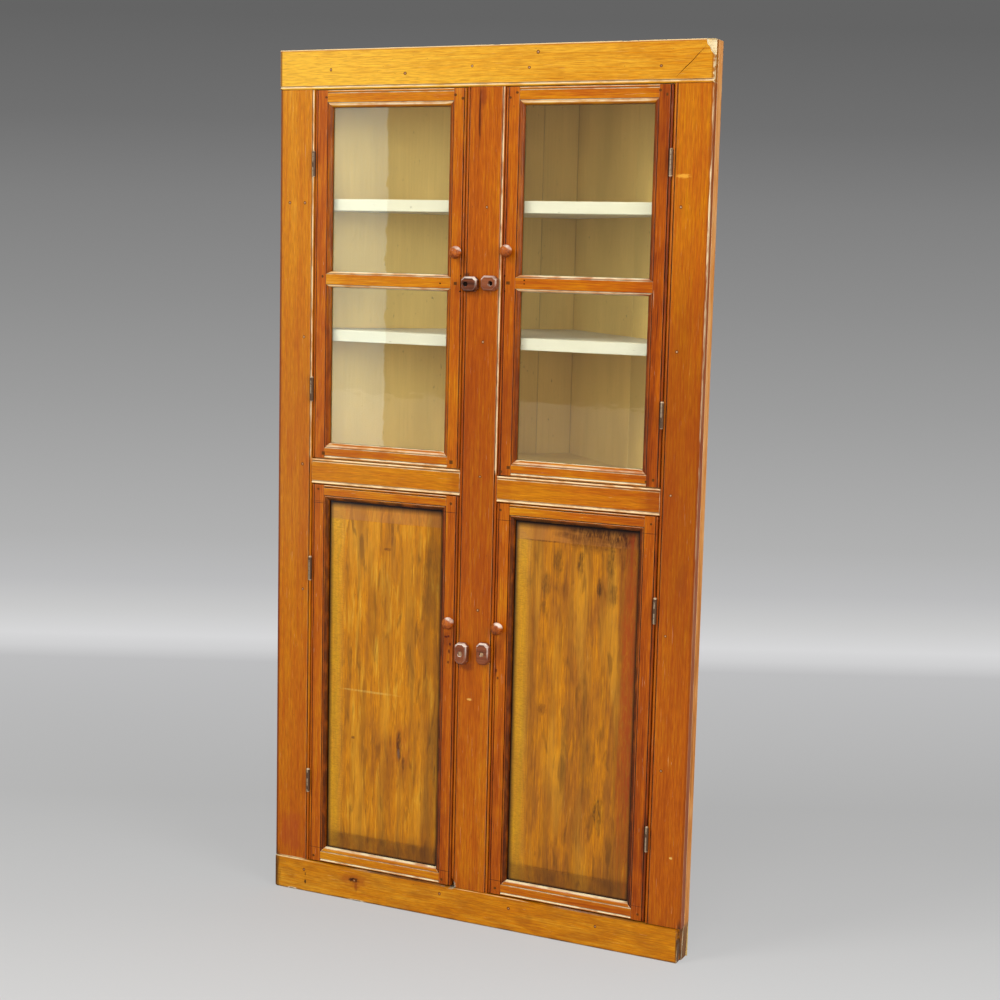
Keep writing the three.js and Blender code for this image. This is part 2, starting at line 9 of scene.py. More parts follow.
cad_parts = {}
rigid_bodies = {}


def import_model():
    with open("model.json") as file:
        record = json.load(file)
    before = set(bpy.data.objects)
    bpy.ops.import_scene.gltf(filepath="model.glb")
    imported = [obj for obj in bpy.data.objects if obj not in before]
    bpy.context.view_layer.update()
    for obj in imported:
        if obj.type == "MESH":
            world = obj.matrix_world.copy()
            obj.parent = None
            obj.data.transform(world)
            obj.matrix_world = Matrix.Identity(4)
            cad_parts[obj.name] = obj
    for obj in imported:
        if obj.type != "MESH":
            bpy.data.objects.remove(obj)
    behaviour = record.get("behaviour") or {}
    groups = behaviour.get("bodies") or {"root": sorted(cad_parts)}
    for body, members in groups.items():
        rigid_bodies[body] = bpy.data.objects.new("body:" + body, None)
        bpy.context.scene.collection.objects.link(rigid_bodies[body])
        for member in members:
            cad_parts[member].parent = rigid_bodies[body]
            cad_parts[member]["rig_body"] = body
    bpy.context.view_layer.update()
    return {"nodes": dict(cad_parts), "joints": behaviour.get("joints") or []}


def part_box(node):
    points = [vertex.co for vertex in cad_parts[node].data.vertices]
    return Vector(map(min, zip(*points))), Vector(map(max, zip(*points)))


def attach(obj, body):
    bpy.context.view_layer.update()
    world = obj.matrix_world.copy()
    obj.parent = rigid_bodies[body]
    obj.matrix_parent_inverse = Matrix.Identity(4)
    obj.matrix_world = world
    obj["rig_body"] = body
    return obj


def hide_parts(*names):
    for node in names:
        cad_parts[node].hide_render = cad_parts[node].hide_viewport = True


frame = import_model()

bl_info = {
    "name": "Corner Cupboard",
    "version": (1, 0, 0),
    "blender": (4, 5, 0),
    "location": "3D View > Sidebar > Cupboard",
    "description": "Finishes the corner cupboard in shellacked pine, old paint, glass and iron",
    "category": "Object",
}

NODES = frame["nodes"]
DOORS = ("upper_left_door", "upper_right_door", "lower_left_door", "lower_right_door")
X, Y, Z = range(3)
MM = 0.001
HALF_WIDTH, HEIGHT = 549 * MM, 2100 * MM
FORWARD = (0, -1, 0)


def linear(code):
    """An sRGB hex colour as linear red, green, blue and alpha; a sidebar's colour is linear."""
    if not isinstance(code, str):
        return tuple(code)
    parts = [int(code[i : i + 2], 16) / 255 for i in (1, 3, 5)]
    return tuple(
        part / 12.92 if part <= 0.04045 else ((part + 0.055) / 1.055) ** 2.4 for part in parts
    ) + (1.0,)


def colour(label, description, code):
    """A colour that the sidebar shows, with its default written as sRGB."""
    return bpy.props.FloatVectorProperty(
        name=label, description=description, subtype="COLOR", size=4, min=0.0, max=1.0,
        default=linear(code),
    )


def length(label, description, millimetres):
    """A length that the sidebar shows, with its default in millimetres."""
    return bpy.props.FloatProperty(
        name=label, description=description, subtype="DISTANCE", unit="LENGTH", min=0.0,
        default=millimetres * MM,
    )


class CupboardSizes(bpy.types.PropertyGroup):
    """Sizes of the small work on the cupboard"""

    board_rounding: length("Board Rounding", "Wear along the face boards' edges", 1.0)
    door_rounding: length("Door Rounding", "Wear along the doors' edges", 0.5)
    nail_radius: length("Nail Head", "Radius of a cut nail's head", 2.4)
    peg_radius: length("Peg", "Radius of a peg in a door's joint", 3.4)
    screw_radius: length("Screw Head", "Radius of a hinge screw's head", 3.4)
    putty_width: length("Putty", "Width of the putty behind a pane", 6.4)


class CupboardColours(bpy.types.PropertyGroup):
    """Colours of the cupboard's finishes"""

    pale: colour("Pale Shellac", "Where the light has bleached the shellac", "#ffc43a")
    gold: colour("Gold Shellac", "Thin shellac over pine", "#dd8c06")
    amber: colour("Amber Shellac", "Common colour of the face frame", "#c56404")
    russet: colour("Russet Shellac", "Thick shellac on the door frames", "#a04402")
    bare: colour("Bare Pine", "Side boards", "#ea9a4c")
    olive: colour("Olive Paint", "Inside of the back", "#f2d284")
    cream: colour("Cream Paint", "Shelves behind the glass", "#d8d2ca")
    knob: colour("Knob Wood", "Knobs and turn buttons", "#9e4a10")


def feed(node, inputs):
    """Gives a node its inputs; each is a value or a socket to link."""
    for name, value in inputs.items():
        if isinstance(value, bpy.types.NodeSocket):
            node.id_data.links.new(value, node.inputs[name])
        else:
            node.inputs[name].default_value = value


def add(tree, kind, inputs=(), **settings):
    """A node of that kind with its settings and inputs."""
    made = tree.nodes.new(kind)
    for name, value in settings.items():
        setattr(made, name, value)
    feed(made, dict(inputs))
    return made


def new_finish(name):
    """An empty finish with its shader, as (finish, node tree, shader)."""
    finish = bpy.data.materials.new(name)
    finish.use_nodes = True
    tree = finish.node_tree
    tree.nodes.clear()
    shader = add(tree, "ShaderNodeBsdfPrincipled")
    add(tree, "ShaderNodeOutputMaterial", {"Surface": shader.outputs[0]})
    return finish, tree, shader


def lay(shader, tone, height, strength, depth_mm, inputs):
    """Gives a shader its colour, its relief and its other inputs, and returns its normals."""
    relief = {"Height": height, "Strength": strength, "Distance": depth_mm * MM}
    normal = add(shader.id_data, "ShaderNodeBump", relief).outputs[0]
    feed(shader, {"Base Color": tone, "Normal": normal, **inputs})
    return normal


def lay_over(share, under, over):
    """Shows one surface with a share of another over it."""
    tree = under.id_data
    both = add(tree, "ShaderNodeMixShader", {0: share, 1: under, 2: over})
    output = next(node for node in tree.nodes if node.type == "OUTPUT_MATERIAL")
    feed(output, {"Surface": both.outputs[0]})


# What the pieces' meshes carry as places; the rest of what they carry is numbers
CARRIED_PLACES = ("grain", "low_edges", "high_edges")


def carried(tree, *names):
    """What a piece's mesh carries under those names."""
    made = [add(tree, "ShaderNodeAttribute", attribute_name=name) for name in names]
    kinds = ["Vector" if name in CARRIED_PLACES else "Fac" for name in names]
    return [node.outputs[kind] for node, kind in zip(made, kinds)]


def axes(tree):
    """The place on the cupboard, as its x, y and z."""
    here = add(tree, "ShaderNodeTexCoord").outputs["Object"]
    return add(tree, "ShaderNodeSeparateXYZ", {0: here}).outputs


def combined(operation, parts):
    """Numbers and number sockets taken together, one after another."""
    tree = next(part.id_data for part in parts if isinstance(part, bpy.types.NodeSocket))
    whole = parts[0]
    for part in parts[1:]:
        whole = add(tree, "ShaderNodeMath", {0: whole, 1: part}, operation=operation).outputs[0]
    return whole


def share_of(*factors):
    """The product of numbers and number sockets."""
    return combined("MULTIPLY", factors)


def total(*terms):
    """The sum of numbers and number sockets."""
    return combined("ADD", terms)


def drawn_noise(place, sizes_mm, detail, twist=0.0):
    """Noise whose features have those real sizes along each axis."""
    tree = place.id_data
    scale = [1 / (size * MM) for size in sizes_mm]
    spread = add(tree, "ShaderNodeMapping", {"Vector": place, "Scale": scale}).outputs[0]
    inputs = {"Vector": spread, "Scale": 1.0, "Detail": detail, "Distortion": twist}
    return add(tree, "ShaderNodeTexNoise", inputs).outputs[0]


def streaks(grain, long_mm, wide_mm, low=0.35, high=0.65, detail=2.0, twist=0.0):
    """Noise drawn out along the grain, from 0 to 1, with its features' real length and width."""
    grey = drawn_noise(grain, (long_mm, wide_mm, wide_mm), detail, twist)
    inputs = {"Value": grey, "From Min": low, "From Max": high}
    return add(grain.id_data, "ShaderNodeMapRange", inputs).outputs[0]


def growth_rings(grain, pitch_mm, warp_mm):
    """Late wood of the yearly rings of a board sawn beside the heart, from 0 to 1."""
    tree = grain.id_data
    wander = drawn_noise(grain, (420, 60, 60), 2.0)
    beside = {"Vector": grain, "Location": (0.0, 0.0, 60 * MM), "Scale": (0.03, 1.0, 1.0)}
    heart = add(tree, "ShaderNodeMapping", beside).outputs[0]
    reach = add(tree, "ShaderNodeVectorMath", {0: heart}, operation="LENGTH").outputs["Value"]
    warped = share_of(wander, warp_mm / pitch_mm)
    years = total(warped, share_of(reach, 1 / (pitch_mm * MM)))
    year = add(tree, "ShaderNodeMath", {0: years}, operation="FRACT").outputs[0]
    return add(tree, "ShaderNodeMath", {0: year, 1: 3.0}, operation="POWER").outputs[0]


# How far noise moves a mark's edge, as a share of the mark's radius
RAGGED = 0.35


def spot(here, centre, radii):
    """1 at a place in millimetres, falling to 0 at those radii, with a ragged edge."""
    tree = here.id_data
    scale = [1 / (radius * MM) for radius in radii]
    shift = [-at * MM * by for at, by in zip(centre, scale)]
    inputs = {"Vector": here, "Location": shift, "Scale": scale}
    away = add(tree, "ShaderNodeMapping", inputs).outputs[0]
    reach = add(tree, "ShaderNodeVectorMath", {0: away}, operation="LENGTH").outputs["Value"]
    rough = add(tree, "ShaderNodeTexNoise", {"Vector": away, "Scale": 2.2, "Detail": 3.0})
    edge = total(share_of(rough.outputs[0], RAGGED * 4), reach)
    inputs = {"Value": edge, "From Min": 1.15 + 2 * RAGGED, "From Max": 0.55 + 2 * RAGGED}
    return add(tree, "ShaderNodeMapRange", inputs).outputs[0]


def marked(tree, table, broken=1.0):
    """Layers for a table of marks: centre and radii in millimetres, colour and share. A texture
    can break them up."""
    here = add(tree, "ShaderNodeTexCoord").outputs["Object"]
    return [
        (share_of(spot(here, centre, radii), share, broken), code)
        for centre, radii, code, share in table
    ]


def blended(base, layers):
    """A colour with layers laid over it: share, colour and, where it doesn't cover, blend."""
    for share, code, *blend in layers:
        kind = blend[0] if blend else "MIX"
        inputs = {0: share, 6: base, 7: linear(code)}
        made = add(share.id_data, "ShaderNodeMix", inputs, data_type="RGBA", blend_type=kind)
        base = made.outputs[2]
    return base


def ramp(factor, stops):
    """A colour that runs through (place, colour) stops."""
    made = add(factor.id_data, "ShaderNodeValToRGB", {"Fac": factor})
    elements = made.color_ramp.elements
    for element, (place, _) in zip(elements, (stops[0], stops[-1])):
        element.position = place
    for place, _ in stops[1:-1]:
        elements.new(place)
    for element, (_, code) in zip(elements, stops):
        element.color = linear(code)
    return made.outputs["Color"]


def within(value, start, end):
    """1 where a length lies before the start, falling to 0 at the end, both in millimetres."""
    inputs = {"Value": value, "From Min": end * MM, "From Max": start * MM}
    return add(value.id_data, "ShaderNodeMapRange", inputs).outputs[0]


def waxed_wood(name, stops, kind):
    """Planed wood under old shellac and wax: warm and half glossy, darker where the shellac lies
    thick and where shade is painted, brown in its quirks, and pale along its arrises with wear and
    painted highlights."""
    wood = dict(zip(WOOD_VALUES, WOODS[kind]))
    finish, tree, shader = new_finish(name)
    grain, arris, dirt_and_shade, depth = carried(tree, "grain", "arris", "dirt_and_shade", "depth")
    patch = streaks(grain, 110, 34, 0.3, 0.7, 6.0, 0.6)
    figures = {
        "broad": streaks(grain, 460, wood["broad_mm"], 0.36, 0.66),
        "narrow": streaks(grain, 190, wood["narrow_mm"], 0.38, 0.68, 3.0, 0.3),
        "ring": growth_rings(grain, wood["ring_mm"], 26),
        "patch": patch,
        "fine": streaks(grain, 60, 3.2, 0.3, 0.7, 5.0, 0.4),
    }
    # Wood fibres are finer than a pixel, so they are drawn 1.6 mm wide to show.
    fibre = streaks(grain, 26, 1.6, 0.3, 0.7)
    specks = streaks(grain, 8, 3.2, 0.72, 0.78)
    scuffs = streaks(grain, 50, 1.6, 0.7, 0.76, 2.0, 0.8)
    broken = streaks(grain, 40, 14, 0.36, 0.56, 3.0)
    uneven = streaks(grain, 240, 40, 0.2, 0.8)
    figure = total(
        *(share_of(grey, wood[part]) for part, grey in figures.items()),
        -0.5 * sum(wood[part] for part in figures),
    )
    # The wood's figure shows less through thin shellac.
    thick = total(depth, share_of(figure, total(depth, 0.5)))
    held = total(share_of(broken, 0.4), 0.52)
    rubbed_and_lit = total(share_of(broken, 0.7), 0.3)
    layers = [
        (share_of(fibre, wood["fibre"]), "#8c5626", "MULTIPLY"),
        (share_of(specks, 0.55), "#3a1e0a"),
        (share_of(scuffs, 0.3), wood["worn"]),
        *wood["marks"](grain),
        # Dirt in the quirks with painted shade in the mouldings, then pale wear along the arrises
        # with painted highlights
        (share_of(dirt_and_shade, held), "#240f05"),
        (share_of(arris, rubbed_and_lit), wood["worn"]),
    ]
    tone = blended(ramp(thick, stops), layers)
    polish = {"Value": patch, "To Min": wood["gloss"], "To Max": wood["gloss"] + 0.16}
    height = total(share_of(fibre, 0.3), share_of(specks, -1.2), share_of(uneven, 1.6))
    normal = lay(shader, tone, height, 0.5, 0.25, {
        "Roughness": add(tree, "ShaderNodeMapRange", polish).outputs[0],
        "IOR": 1.5,
        "Specular IOR Level": 0.1,
        "Coat Weight": wood["coat"],
        "Coat Roughness": 0.16,
    })
    feed(shader, {"Coat Normal": normal})
    return finish


def foot_marks(grain):
    """Grey damp at the side boards' feet."""
    ragged = streaks(grain, 30, 8, 0.3, 0.7, 4.0)
    broken = total(share_of(ragged, 0.4), 0.55)
    return [(share_of(within(axes(grain.id_data)["Z"], 78, 92), broken), "#5c4a3c")]


def frame_marks(grain):
    """The face frame's pale and dark edges, with a painted highlight along the frieze's top arris,
    and the grime at its foot, then its single marks.
    """
    tree = grain.id_data
    along, deep, up = axes(tree)
    grime = streaks(grain, 60, 26, 0.42, 0.66, 4.0, 0.5)
    ragged = streaks(grain, 60, 9, 0.42, 0.56, 4.0)
    high = add(tree, "ShaderNodeMapRange", {"Value": up, "From Min": 0.7, "From Max": 1.5})
    to_left = total(along, HALF_WIDTH)
    to_right = total(share_of(along, -1.0), HALF_WIDTH)
    to_top = total(share_of(up, -1.0), HEIGHT)
    arris = share_of(within(to_right, 1.5, 3), within(deep, 5, 9))
    return [
        (share_of(within(up, 60, 190), grime, 0.3), "#7a2e10"),
        (share_of(within(to_left, 4, 7), 0.75), "#5e1c08"),
        # A dark red line under the frieze's top arris, then a painted highlight, with some wear,
        # along the arris itself
        (share_of(within(to_top, 3, 6), 0.5), "#a03c10"),
        (share_of(within(to_top, 1.6, 2.6), 0.85), "#ffe0a8"),
        (share_of(within(to_right, 4, 7), 0.5), "#7a2c08"),
        (share_of(arris, ragged, high.outputs[0], 0.85), "#ffe6b4"),
        (share_of(within(up, 2, 5), grime, 0.9), "#2c1206"),
        (share_of(within(up, 2, 4.5), 0.7), "#2c1206"),
        *marked(tree, FRAME_MARKS),
    ]


# Marks on the face frame: centre and radii in millimetres, colour and share
FRAME_MARKS = (
    ((-316, -4, 53), (44, 20, 16), "#a24a12", 0.6),
    ((-318, -4, 54), (15, 12, 6.5), "#2e1206", 0.95),
    ((-311, -4, 38), (5, 12, 14), "#8a3a10", 0.6),
    ((-13, 0, 1940), (3.2, 12, 74), "#521c08", 0.85),
    ((-6, 0, 1985), (9, 12, 26), "#7c2c0c", 0.6),
    ((-38, 0, 1575), (10, 12, 7), "#3a1408", 0.7),
    ((543, 10, 40), (6, 40, 70), "#33241a", 0.85),
    ((-548, -4, 38), (14, 20, 70), "#40240e", 0.75),
    ((-497, -4, 2), (14, 6, 3.4), "#f8e8c8", 1.0),
    ((-308, -4, 2), (26, 6, 2.4), "#f0dcae", 1.0),
    # A painted highlight, with some wear, along the base board's top arris
    ((-502, -4, 83), (48, 12, 2.4), "#f4dca4", 0.9),
    ((-459, -4, 26), (3, 12, 6), "#1e0c04", 0.95),
    ((-459, -4, 46), (2, 12, 5), "#3a1a08", 0.7),
    ((-44, 2, 88), (9, 14, 10), "#b4cbbb", 0.95),
    ((520, 0, 900), (16, 12, 50), "#8e3a12", 0.4),
    ((500, 0, 1120), (90, 12, 520), "#7e2a02", 0.44),
    ((0, 0, 1110), (80, 12, 420), "#8a2e02", 0.34),
    ((-500, 0, 1130), (80, 12, 380), "#963602", 0.2),
    ((486, 0, 1806), (17, 12, 5), "#f4ac3a", 0.8),
    ((517, 0, 250), (4, 12, 3), "#f4cc6a", 0.8),
    ((-8, 0, 560), (7, 12, 3), "#f4bc5a", 0.8),
    ((-505, 0, 150), (34, 12, 60), "#a8401c", 0.45),
    ((-20, 0, 640), (24, 12, 10), "#7c3210", 0.45),
)


def door_marks(grain):
    """The joiner's scribed lines across the stiles, and worn places on the doors' frames."""
    return marked(grain.id_data, DOOR_MARKS)


# The joiner's scribed lines across the doors' stiles: x, z and half their width in millimetres,
# and share
SCRIBED_LINES = (
    (-430, 1006, 1.0, 0.8), (-430, 1010, 0.8, 0.6), (-70, 1011, 1.0, 0.8), (75, 1004, 1.0, 0.8),
    (434, 1004, 1.0, 0.7), (-430, 121, 1.0, 0.7), (-70, 120, 1.0, 0.8), (75, 120, 1.0, 0.8),
    (434, 120, 1.0, 0.6),
)
# Dark specks below the lower doors' knobs: x, z and two radii in millimetres, and share
SPECKS = (
    (-74, 707, 5, 3, 0.9), (-67, 709, 3, 3, 0.9), (-63, 690, 3, 4, 0.9), (-65, 672, 3, 6, 0.8),
    (-67, 645, 3, 4, 0.8), (62, 640, 3, 5, 0.8), (66, 622, 3, 4, 0.8),
)
# Marks on the doors' frames: centre and radii in millimetres, colour and share
DOOR_MARKS = (
    *(((x, 0, z), (26, 8, thin), "#3a1408", share) for x, z, thin, share in SCRIBED_LINES),
    ((75, 0, 1280), (20, 8, 120), "#7c2c0c", 0.35),
    ((-72, 0, 700), (20, 8, 22), "#5c1c06", 0.4),
    ((66, 0, 690), (12, 8, 30), "#5c1c06", 0.4),
    ((-66, 0, 1500), (16, 8, 60), "#8c2c06", 0.3),
    ((66, 0, 1500), (16, 8, 70), "#8c2c06", 0.3),
    ((434, 0, 1900), (24, 8, 120), "#6a1e04", 0.25),
    *(((x, 0, z), (wide, 8, tall), "#4a1006", share) for x, z, wide, tall, share in SPECKS),
)


def panel_marks(grain):
    """Brown drifts, curled figure and knots on a raised panel, its bevels painted lit on the left,
    browner at the head and shaded at the right and the foot, and painted shadow of the frame along
    its edges.
    """
    tree = grain.id_data
    sides = carried(tree, "low_edges", "high_edges")
    (left, _, foot), (right, _, head) = [
        add(tree, "ShaderNodeSeparateXYZ", {0: side}).outputs for side in sides
    ]
    drift = streaks(grain, 300, 24, 0.46, 0.62, 8.0, 0.4)
    smoke = streaks(grain, 90, 14, 0.54, 0.68, 8.0, 0.8)
    light = streaks(grain, 300, 36, 0.5, 0.66, 4.0)
    curl = streaks(grain, 3.4, 14, 0.45, 0.62, 1.0, 1.6)
    ragged = total(share_of(streaks(grain, 60, 30, 0.3, 0.7, 3.0), 0.5), 0.5)
    figure = total(share_of(streaks(grain, 26, 5, 0.36, 0.6, 6.0, 1.2), 0.6), 0.4)
    darkened = ((left, 2, 14), (head, 3, 18), (right, 1, 7), (foot, 1, 7))
    return [
        (share_of(light, 0.4), "#e0a02a"),
        (share_of(drift, 0.45), "#8a5614"),
        (share_of(smoke, 0.5), "#5a3510"),
        # Painted light and shade on the bevels: paler on the left, browner at the head, darker at
        # the right and the foot
        (share_of(within(left, 40, 52), 0.3), "#f0ac30"),
        (share_of(within(left, 28, 40), ragged, 0.5), "#deaa14"),
        (share_of(curl, within(left, 30, 60), 0.3), "#8a4e10"),
        (share_of(within(head, 42, 45), ragged, 0.6), "#b4743c"),
        (share_of(within(right, 42, 46), ragged, 0.4), "#643610"),
        (share_of(within(foot, 40, 50), ragged, 0.6), "#543010"),
        (share_of(within(foot, 44, 70), ragged, 0.3), "#543010"),
        *marked(tree, PANEL_MARKS, figure),
        # Painted shadow of the frame along the panel's edges, widest at the left and the top
        *((within(*band), "#1a0a04") for band in darkened),
    ]


# Marks on the raised panels: centre and radii in millimetres, colour and share
PANEL_MARKS = (
    ((-196, 6, 412), (26, 20, 66), "#b05c12", 0.6),
    ((-201, 6, 414), (8, 20, 44), "#20130c", 0.9),
    ((-202, 6, 396), (4, 20, 14), "#77695a", 0.6),
    ((-188, 6, 372), (5, 20, 20), "#4a2a10", 0.7),
    ((-290, 6, 542), (84, 20, 3), "#e8bf5a", 0.5),
    ((-236, 6, 360), (50, 20, 90), "#8a3e10", 0.3),
    ((-120, 6, 830), (26, 20, 130), "#5e4012", 0.45),
    ((-110, 6, 400), (14, 20, 120), "#4e3a16", 0.4),
    ((-330, 6, 420), (5, 20, 4), "#6a3410", 0.8),
    ((-240, 6, 905), (12, 20, 4), "#5c2a0c", 0.7),
    ((330, 6, 992), (130, 20, 32), "#3a1a0a", 0.9),
    ((388, 6, 950), (26, 20, 60), "#4c1e0a", 0.55),
    ((290, 6, 966), (60, 20, 22), "#5e3010", 0.5),
    ((394, 6, 560), (22, 20, 500), "#a4400c", 0.8),
    ((316, 6, 865), (6, 20, 26), "#241408", 0.8),
    ((344, 6, 925), (10, 20, 40), "#2b1a0c", 0.8),
    ((352, 6, 850), (11, 20, 28), "#4a2c12", 0.6),
    ((268, 6, 918), (9, 20, 32), "#46290e", 0.8),
    ((211, 6, 918), (13, 20, 34), "#54340f", 0.7),
    ((183, 6, 860), (12, 20, 30), "#5c3a14", 0.65),
    ((176, 6, 805), (9, 20, 18), "#54340f", 0.55),
    ((170, 6, 963), (60, 20, 2), "#4a220a", 0.7),
    ((330, 6, 330), (13, 20, 38), "#33220e", 0.8),
    ((300, 6, 420), (20, 20, 90), "#6e4a16", 0.4),
    ((180, 6, 560), (12, 20, 14), "#5c2a0c", 0.6),
    ((240, 6, 470), (10, 20, 130), "#77511a", 0.45),
)


def no_marks(grain):
    """Nothing: a knob or a button has no marks of its own."""
    return ()


# Each wood's widths of figure in millimetres, the strength of each kind of figure, the roughness
# of its polish, its coat, the colour of its worn places and of its painted highlights, and its
# marks
WOOD_VALUES = (
    "broad_mm", "narrow_mm", "ring_mm", "broad", "narrow", "ring", "patch", "fine", "fibre",
    "gloss", "coat", "worn", "marks",
)
WOODS = {
    "frame": (34, 9, 8, 0.1, 0.06, 0.1, 0.1, 0.14, 0.42, 0.34, 0.15, "#ffe2b0", frame_marks),
    "door": (20, 7, 5, 0.14, 0.12, 0.1, 0.16, 0.18, 0.34, 0.34, 0.15, "#ffecc0", door_marks),
    "panel": (50, 12, 9, 0.16, 0.1, 0.1, 0.3, 0.24, 0.35, 0.38, 0.25, "#ffd07a", panel_marks),
    "bare": (30, 8, 6, 0.2, 0.14, 0.14, 0.3, 0.2, 0.3, 0.6, 0.0, "#fff0cc", foot_marks),
    "knob": (9, 3, 2, 0.3, 0.2, 0.2, 0.3, 0.1, 0.2, 0.3, 0.26, "#fff0e2", no_marks),
}


def old_paint(name, base, dusty, chipped):
    """Oil paint brushed on long ago: matt, yellowed in drifts and rubbed along its arrises."""
    finish, tree, shader = new_finish(name)
    grain, arris, dirt_and_shade = carried(tree, "grain", "arris", "dirt_and_shade")
    brush = streaks(grain, 160, 3, 0.3, 0.7, 3.0)
    layers = [
        (share_of(brush, 0.16), dusty),
        (share_of(streaks(grain, 420, 160, 0.35, 0.7, 3.0), 0.4), dusty),
        (share_of(streaks(grain, 10, 6, 0.74, 0.78, 1.0), 0.5), "#5f4a26"),
        (share_of(dirt_and_shade, 0.7), "#4a3a20"),
        (share_of(arris, streaks(grain, 30, 10, 0.5, 0.6, 3.0), 0.6), chipped),
    ]
    lay(shader, blended(linear(base), layers), brush, 0.4, 0.3, {"Roughness": 0.55})
    return finish


def raw_plank(name):
    """Sawn pine that was never finished, browned by air: dry, dull and streaked with saw marks."""
    finish, tree, shader = new_finish(name)
    (grain,) = carried(tree, "grain")
    saw = streaks(grain, 4, 300, 0.35, 0.65, 1.0)
    layers = [
        (share_of(streaks(grain, 500, 26), 0.6), "#7d5a36"),
        (share_of(growth_rings(grain, 8, 30), 0.35), "#6a4526"),
        (share_of(saw, 0.07), "#5d3f24"),
        (share_of(streaks(grain, 30, 1.4), 0.4), "#7a5a3c", "MULTIPLY"),
    ]
    lay(shader, blended(linear("#a9835a"), layers), saw, 0.25, 0.5, {"Roughness": 0.8})
    return finish


def window_glass(name):
    """Old blown window glass: clear, faintly green and wavy enough to bend its reflections."""
    finish, tree, shader = new_finish(name)
    here = add(tree, "ShaderNodeTexCoord").outputs["Object"]
    swell = drawn_noise(here, (111.1, 111.1, 46.3), 2.0)
    inputs = {"Transmission Weight": 1.0, "Roughness": 0.0, "IOR": 1.5}
    lay(shader, linear("#fafcf4"), swell, 0.12, 0.8, inputs)
    # Lamps reach what stands behind the pane.
    clear = add(tree, "ShaderNodeBsdfTransparent", {"Color": linear("#f6f8f0")})
    lamp = add(tree, "ShaderNodeLightPath").outputs["Is Shadow Ray"]
    lay_over(lamp, shader.outputs[0], clear.outputs[0])
    return finish


def iron(name, base, bright, roughness, metallic):
    """Wrought iron handled for long: dark brown-black and pitted, with pale painted highlights
    where its piece marks them.
    """
    finish, tree, shader = new_finish(name)
    here = add(tree, "ShaderNodeTexCoord").outputs["Object"]
    (arris,) = carried(tree, "arris")
    pits = drawn_noise(here, (6.25, 6.25, 6.25), 4.0)
    rust = add(tree, "ShaderNodeMapRange", {"Value": pits, "From Min": 0.5, "From Max": 0.7})
    layers = [
        (share_of(rust.outputs[0], 0.6), "#5a3118"),
        (share_of(arris, 0.8), bright),
    ]
    inputs = {"Metallic": metallic, "Roughness": roughness}
    lay(shader, blended(linear(base), layers), pits, 0.5, 0.3, inputs)
    return finish


def plain_finish(name, code, roughness):
    """A small dry detail, such as putty, a peg's end or the stain round a nail."""
    finish, tree, shader = new_finish(name)
    here = add(tree, "ShaderNodeTexCoord").outputs["Object"]
    mottle = drawn_noise(here, (3.846, 3.846, 3.846), 3.0)
    layers = [(share_of(mottle, 0.5), "#1d0f06")]
    inputs = {"Roughness": roughness, "Specular IOR Level": 0.1}
    lay(shader, blended(linear(code), layers), mottle, 0.4, 0.3, inputs)
    return finish


FINISHES = {}


def finish_of(name):
    """The finish under that name, made once."""
    if name in FINISHES:
        return FINISHES[name]
    tones = bpy.context.scene.cupboard_colours
    dark = "#4e1f08"
    shellac = (
        (0.0, tones.pale), (0.25, tones.gold), (0.5, tones.amber), (0.75, tones.russet),
        (1.0, dark),
    )
    thin_shellac = ((0.0, tones.pale), (0.3, tones.gold), (0.62, "#b06a1a"), (1.0, dark))
    bare = ((0.0, "#ffcc8c"), (0.5, tones.bare), (1.0, "#8a4a20"))
    fresh = ((0.0, "#fff2cc"), (1.0, "#e8c88a"))
    knob = ((0.0, "#d8782a"), (0.5, tones.knob), (1.0, "#33180e"))
    button = ((0.0, "#a05c38"), (0.5, "#84462a"), (1.0, "#33180e"))
    make, *given = {
        # Glowing orange boards, golden where the shellac is thin
        "frame": (waxed_wood, "shellacked_frame_pine", shellac, "frame"),
        # Redder and livelier narrow strips
        "door": (waxed_wood, "shellacked_door_pine", shellac, "door"),
        # Olive gold boards, clouded with brown
        "panel": (waxed_wood, "shellacked_panel_pine", thin_shellac, "panel"),
        # Dry salmon wood, darkened by hands
        "bare": (waxed_wood, "bare_handled_pine", bare, "bare"),
        # Pale wood where a splinter has come away
        "fresh": (waxed_wood, "freshly_broken_pine", fresh, "bare"),
        # Dull yellow green and dusty cream
        "olive": (old_paint, "olive_oil_paint", tones.olive, "#b29452", "#c8b98a"),
        "cream": (old_paint, "cream_oil_paint", tones.cream, "#dcd4bc", "#c9a878"),
        # Dry grey brown
        "raw": (raw_plank, "aged_sawn_pine"),
        # Clear, with wavy reflections
        "glass": (window_glass, "blown_window_glass"),
        # Red brown and polished by hands
        "knob": (waxed_wood, "handled_knob_fruitwood", knob, "knob"),
        "button": (waxed_wood, "handled_button_fruitwood", button, "knob"),
        # Dark and pitted, then pale and dull
        "iron": (iron, "wrought_iron", "#5c422c", "#ecd2ac", 0.4, 0.3),
        "nail": (iron, "cut_nail_iron", "#c49c74", "#e0c8a8", 0.5, 0.2),
        # Small dark or dusty dots and lines
        "stain": (plain_finish, "iron_stain", "#8e4e16", 0.5),
        "peg": (plain_finish, "peg_end_grain", "#74400f", 0.5),
        "hole": (plain_finish, "open_screw_hole", "#180a04", 0.9),
        "putty": (plain_finish, "linseed_putty", "#b09a6c", 0.8),
    }[name]
    FINISHES[name] = make(*given)
    return FINISHES[name]


# Corners nearer than this are one corner, and faces that turn less than this are one face
SAME_PLACE, SAME_PLANE = 0.02 * MM, math.radians(0.5)
# How far two faces turn at an outer corner that wears round and at an inner one that holds dirt
OUTER_CORNER, INNER_CORNER = math.radians(40), math.radians(25)
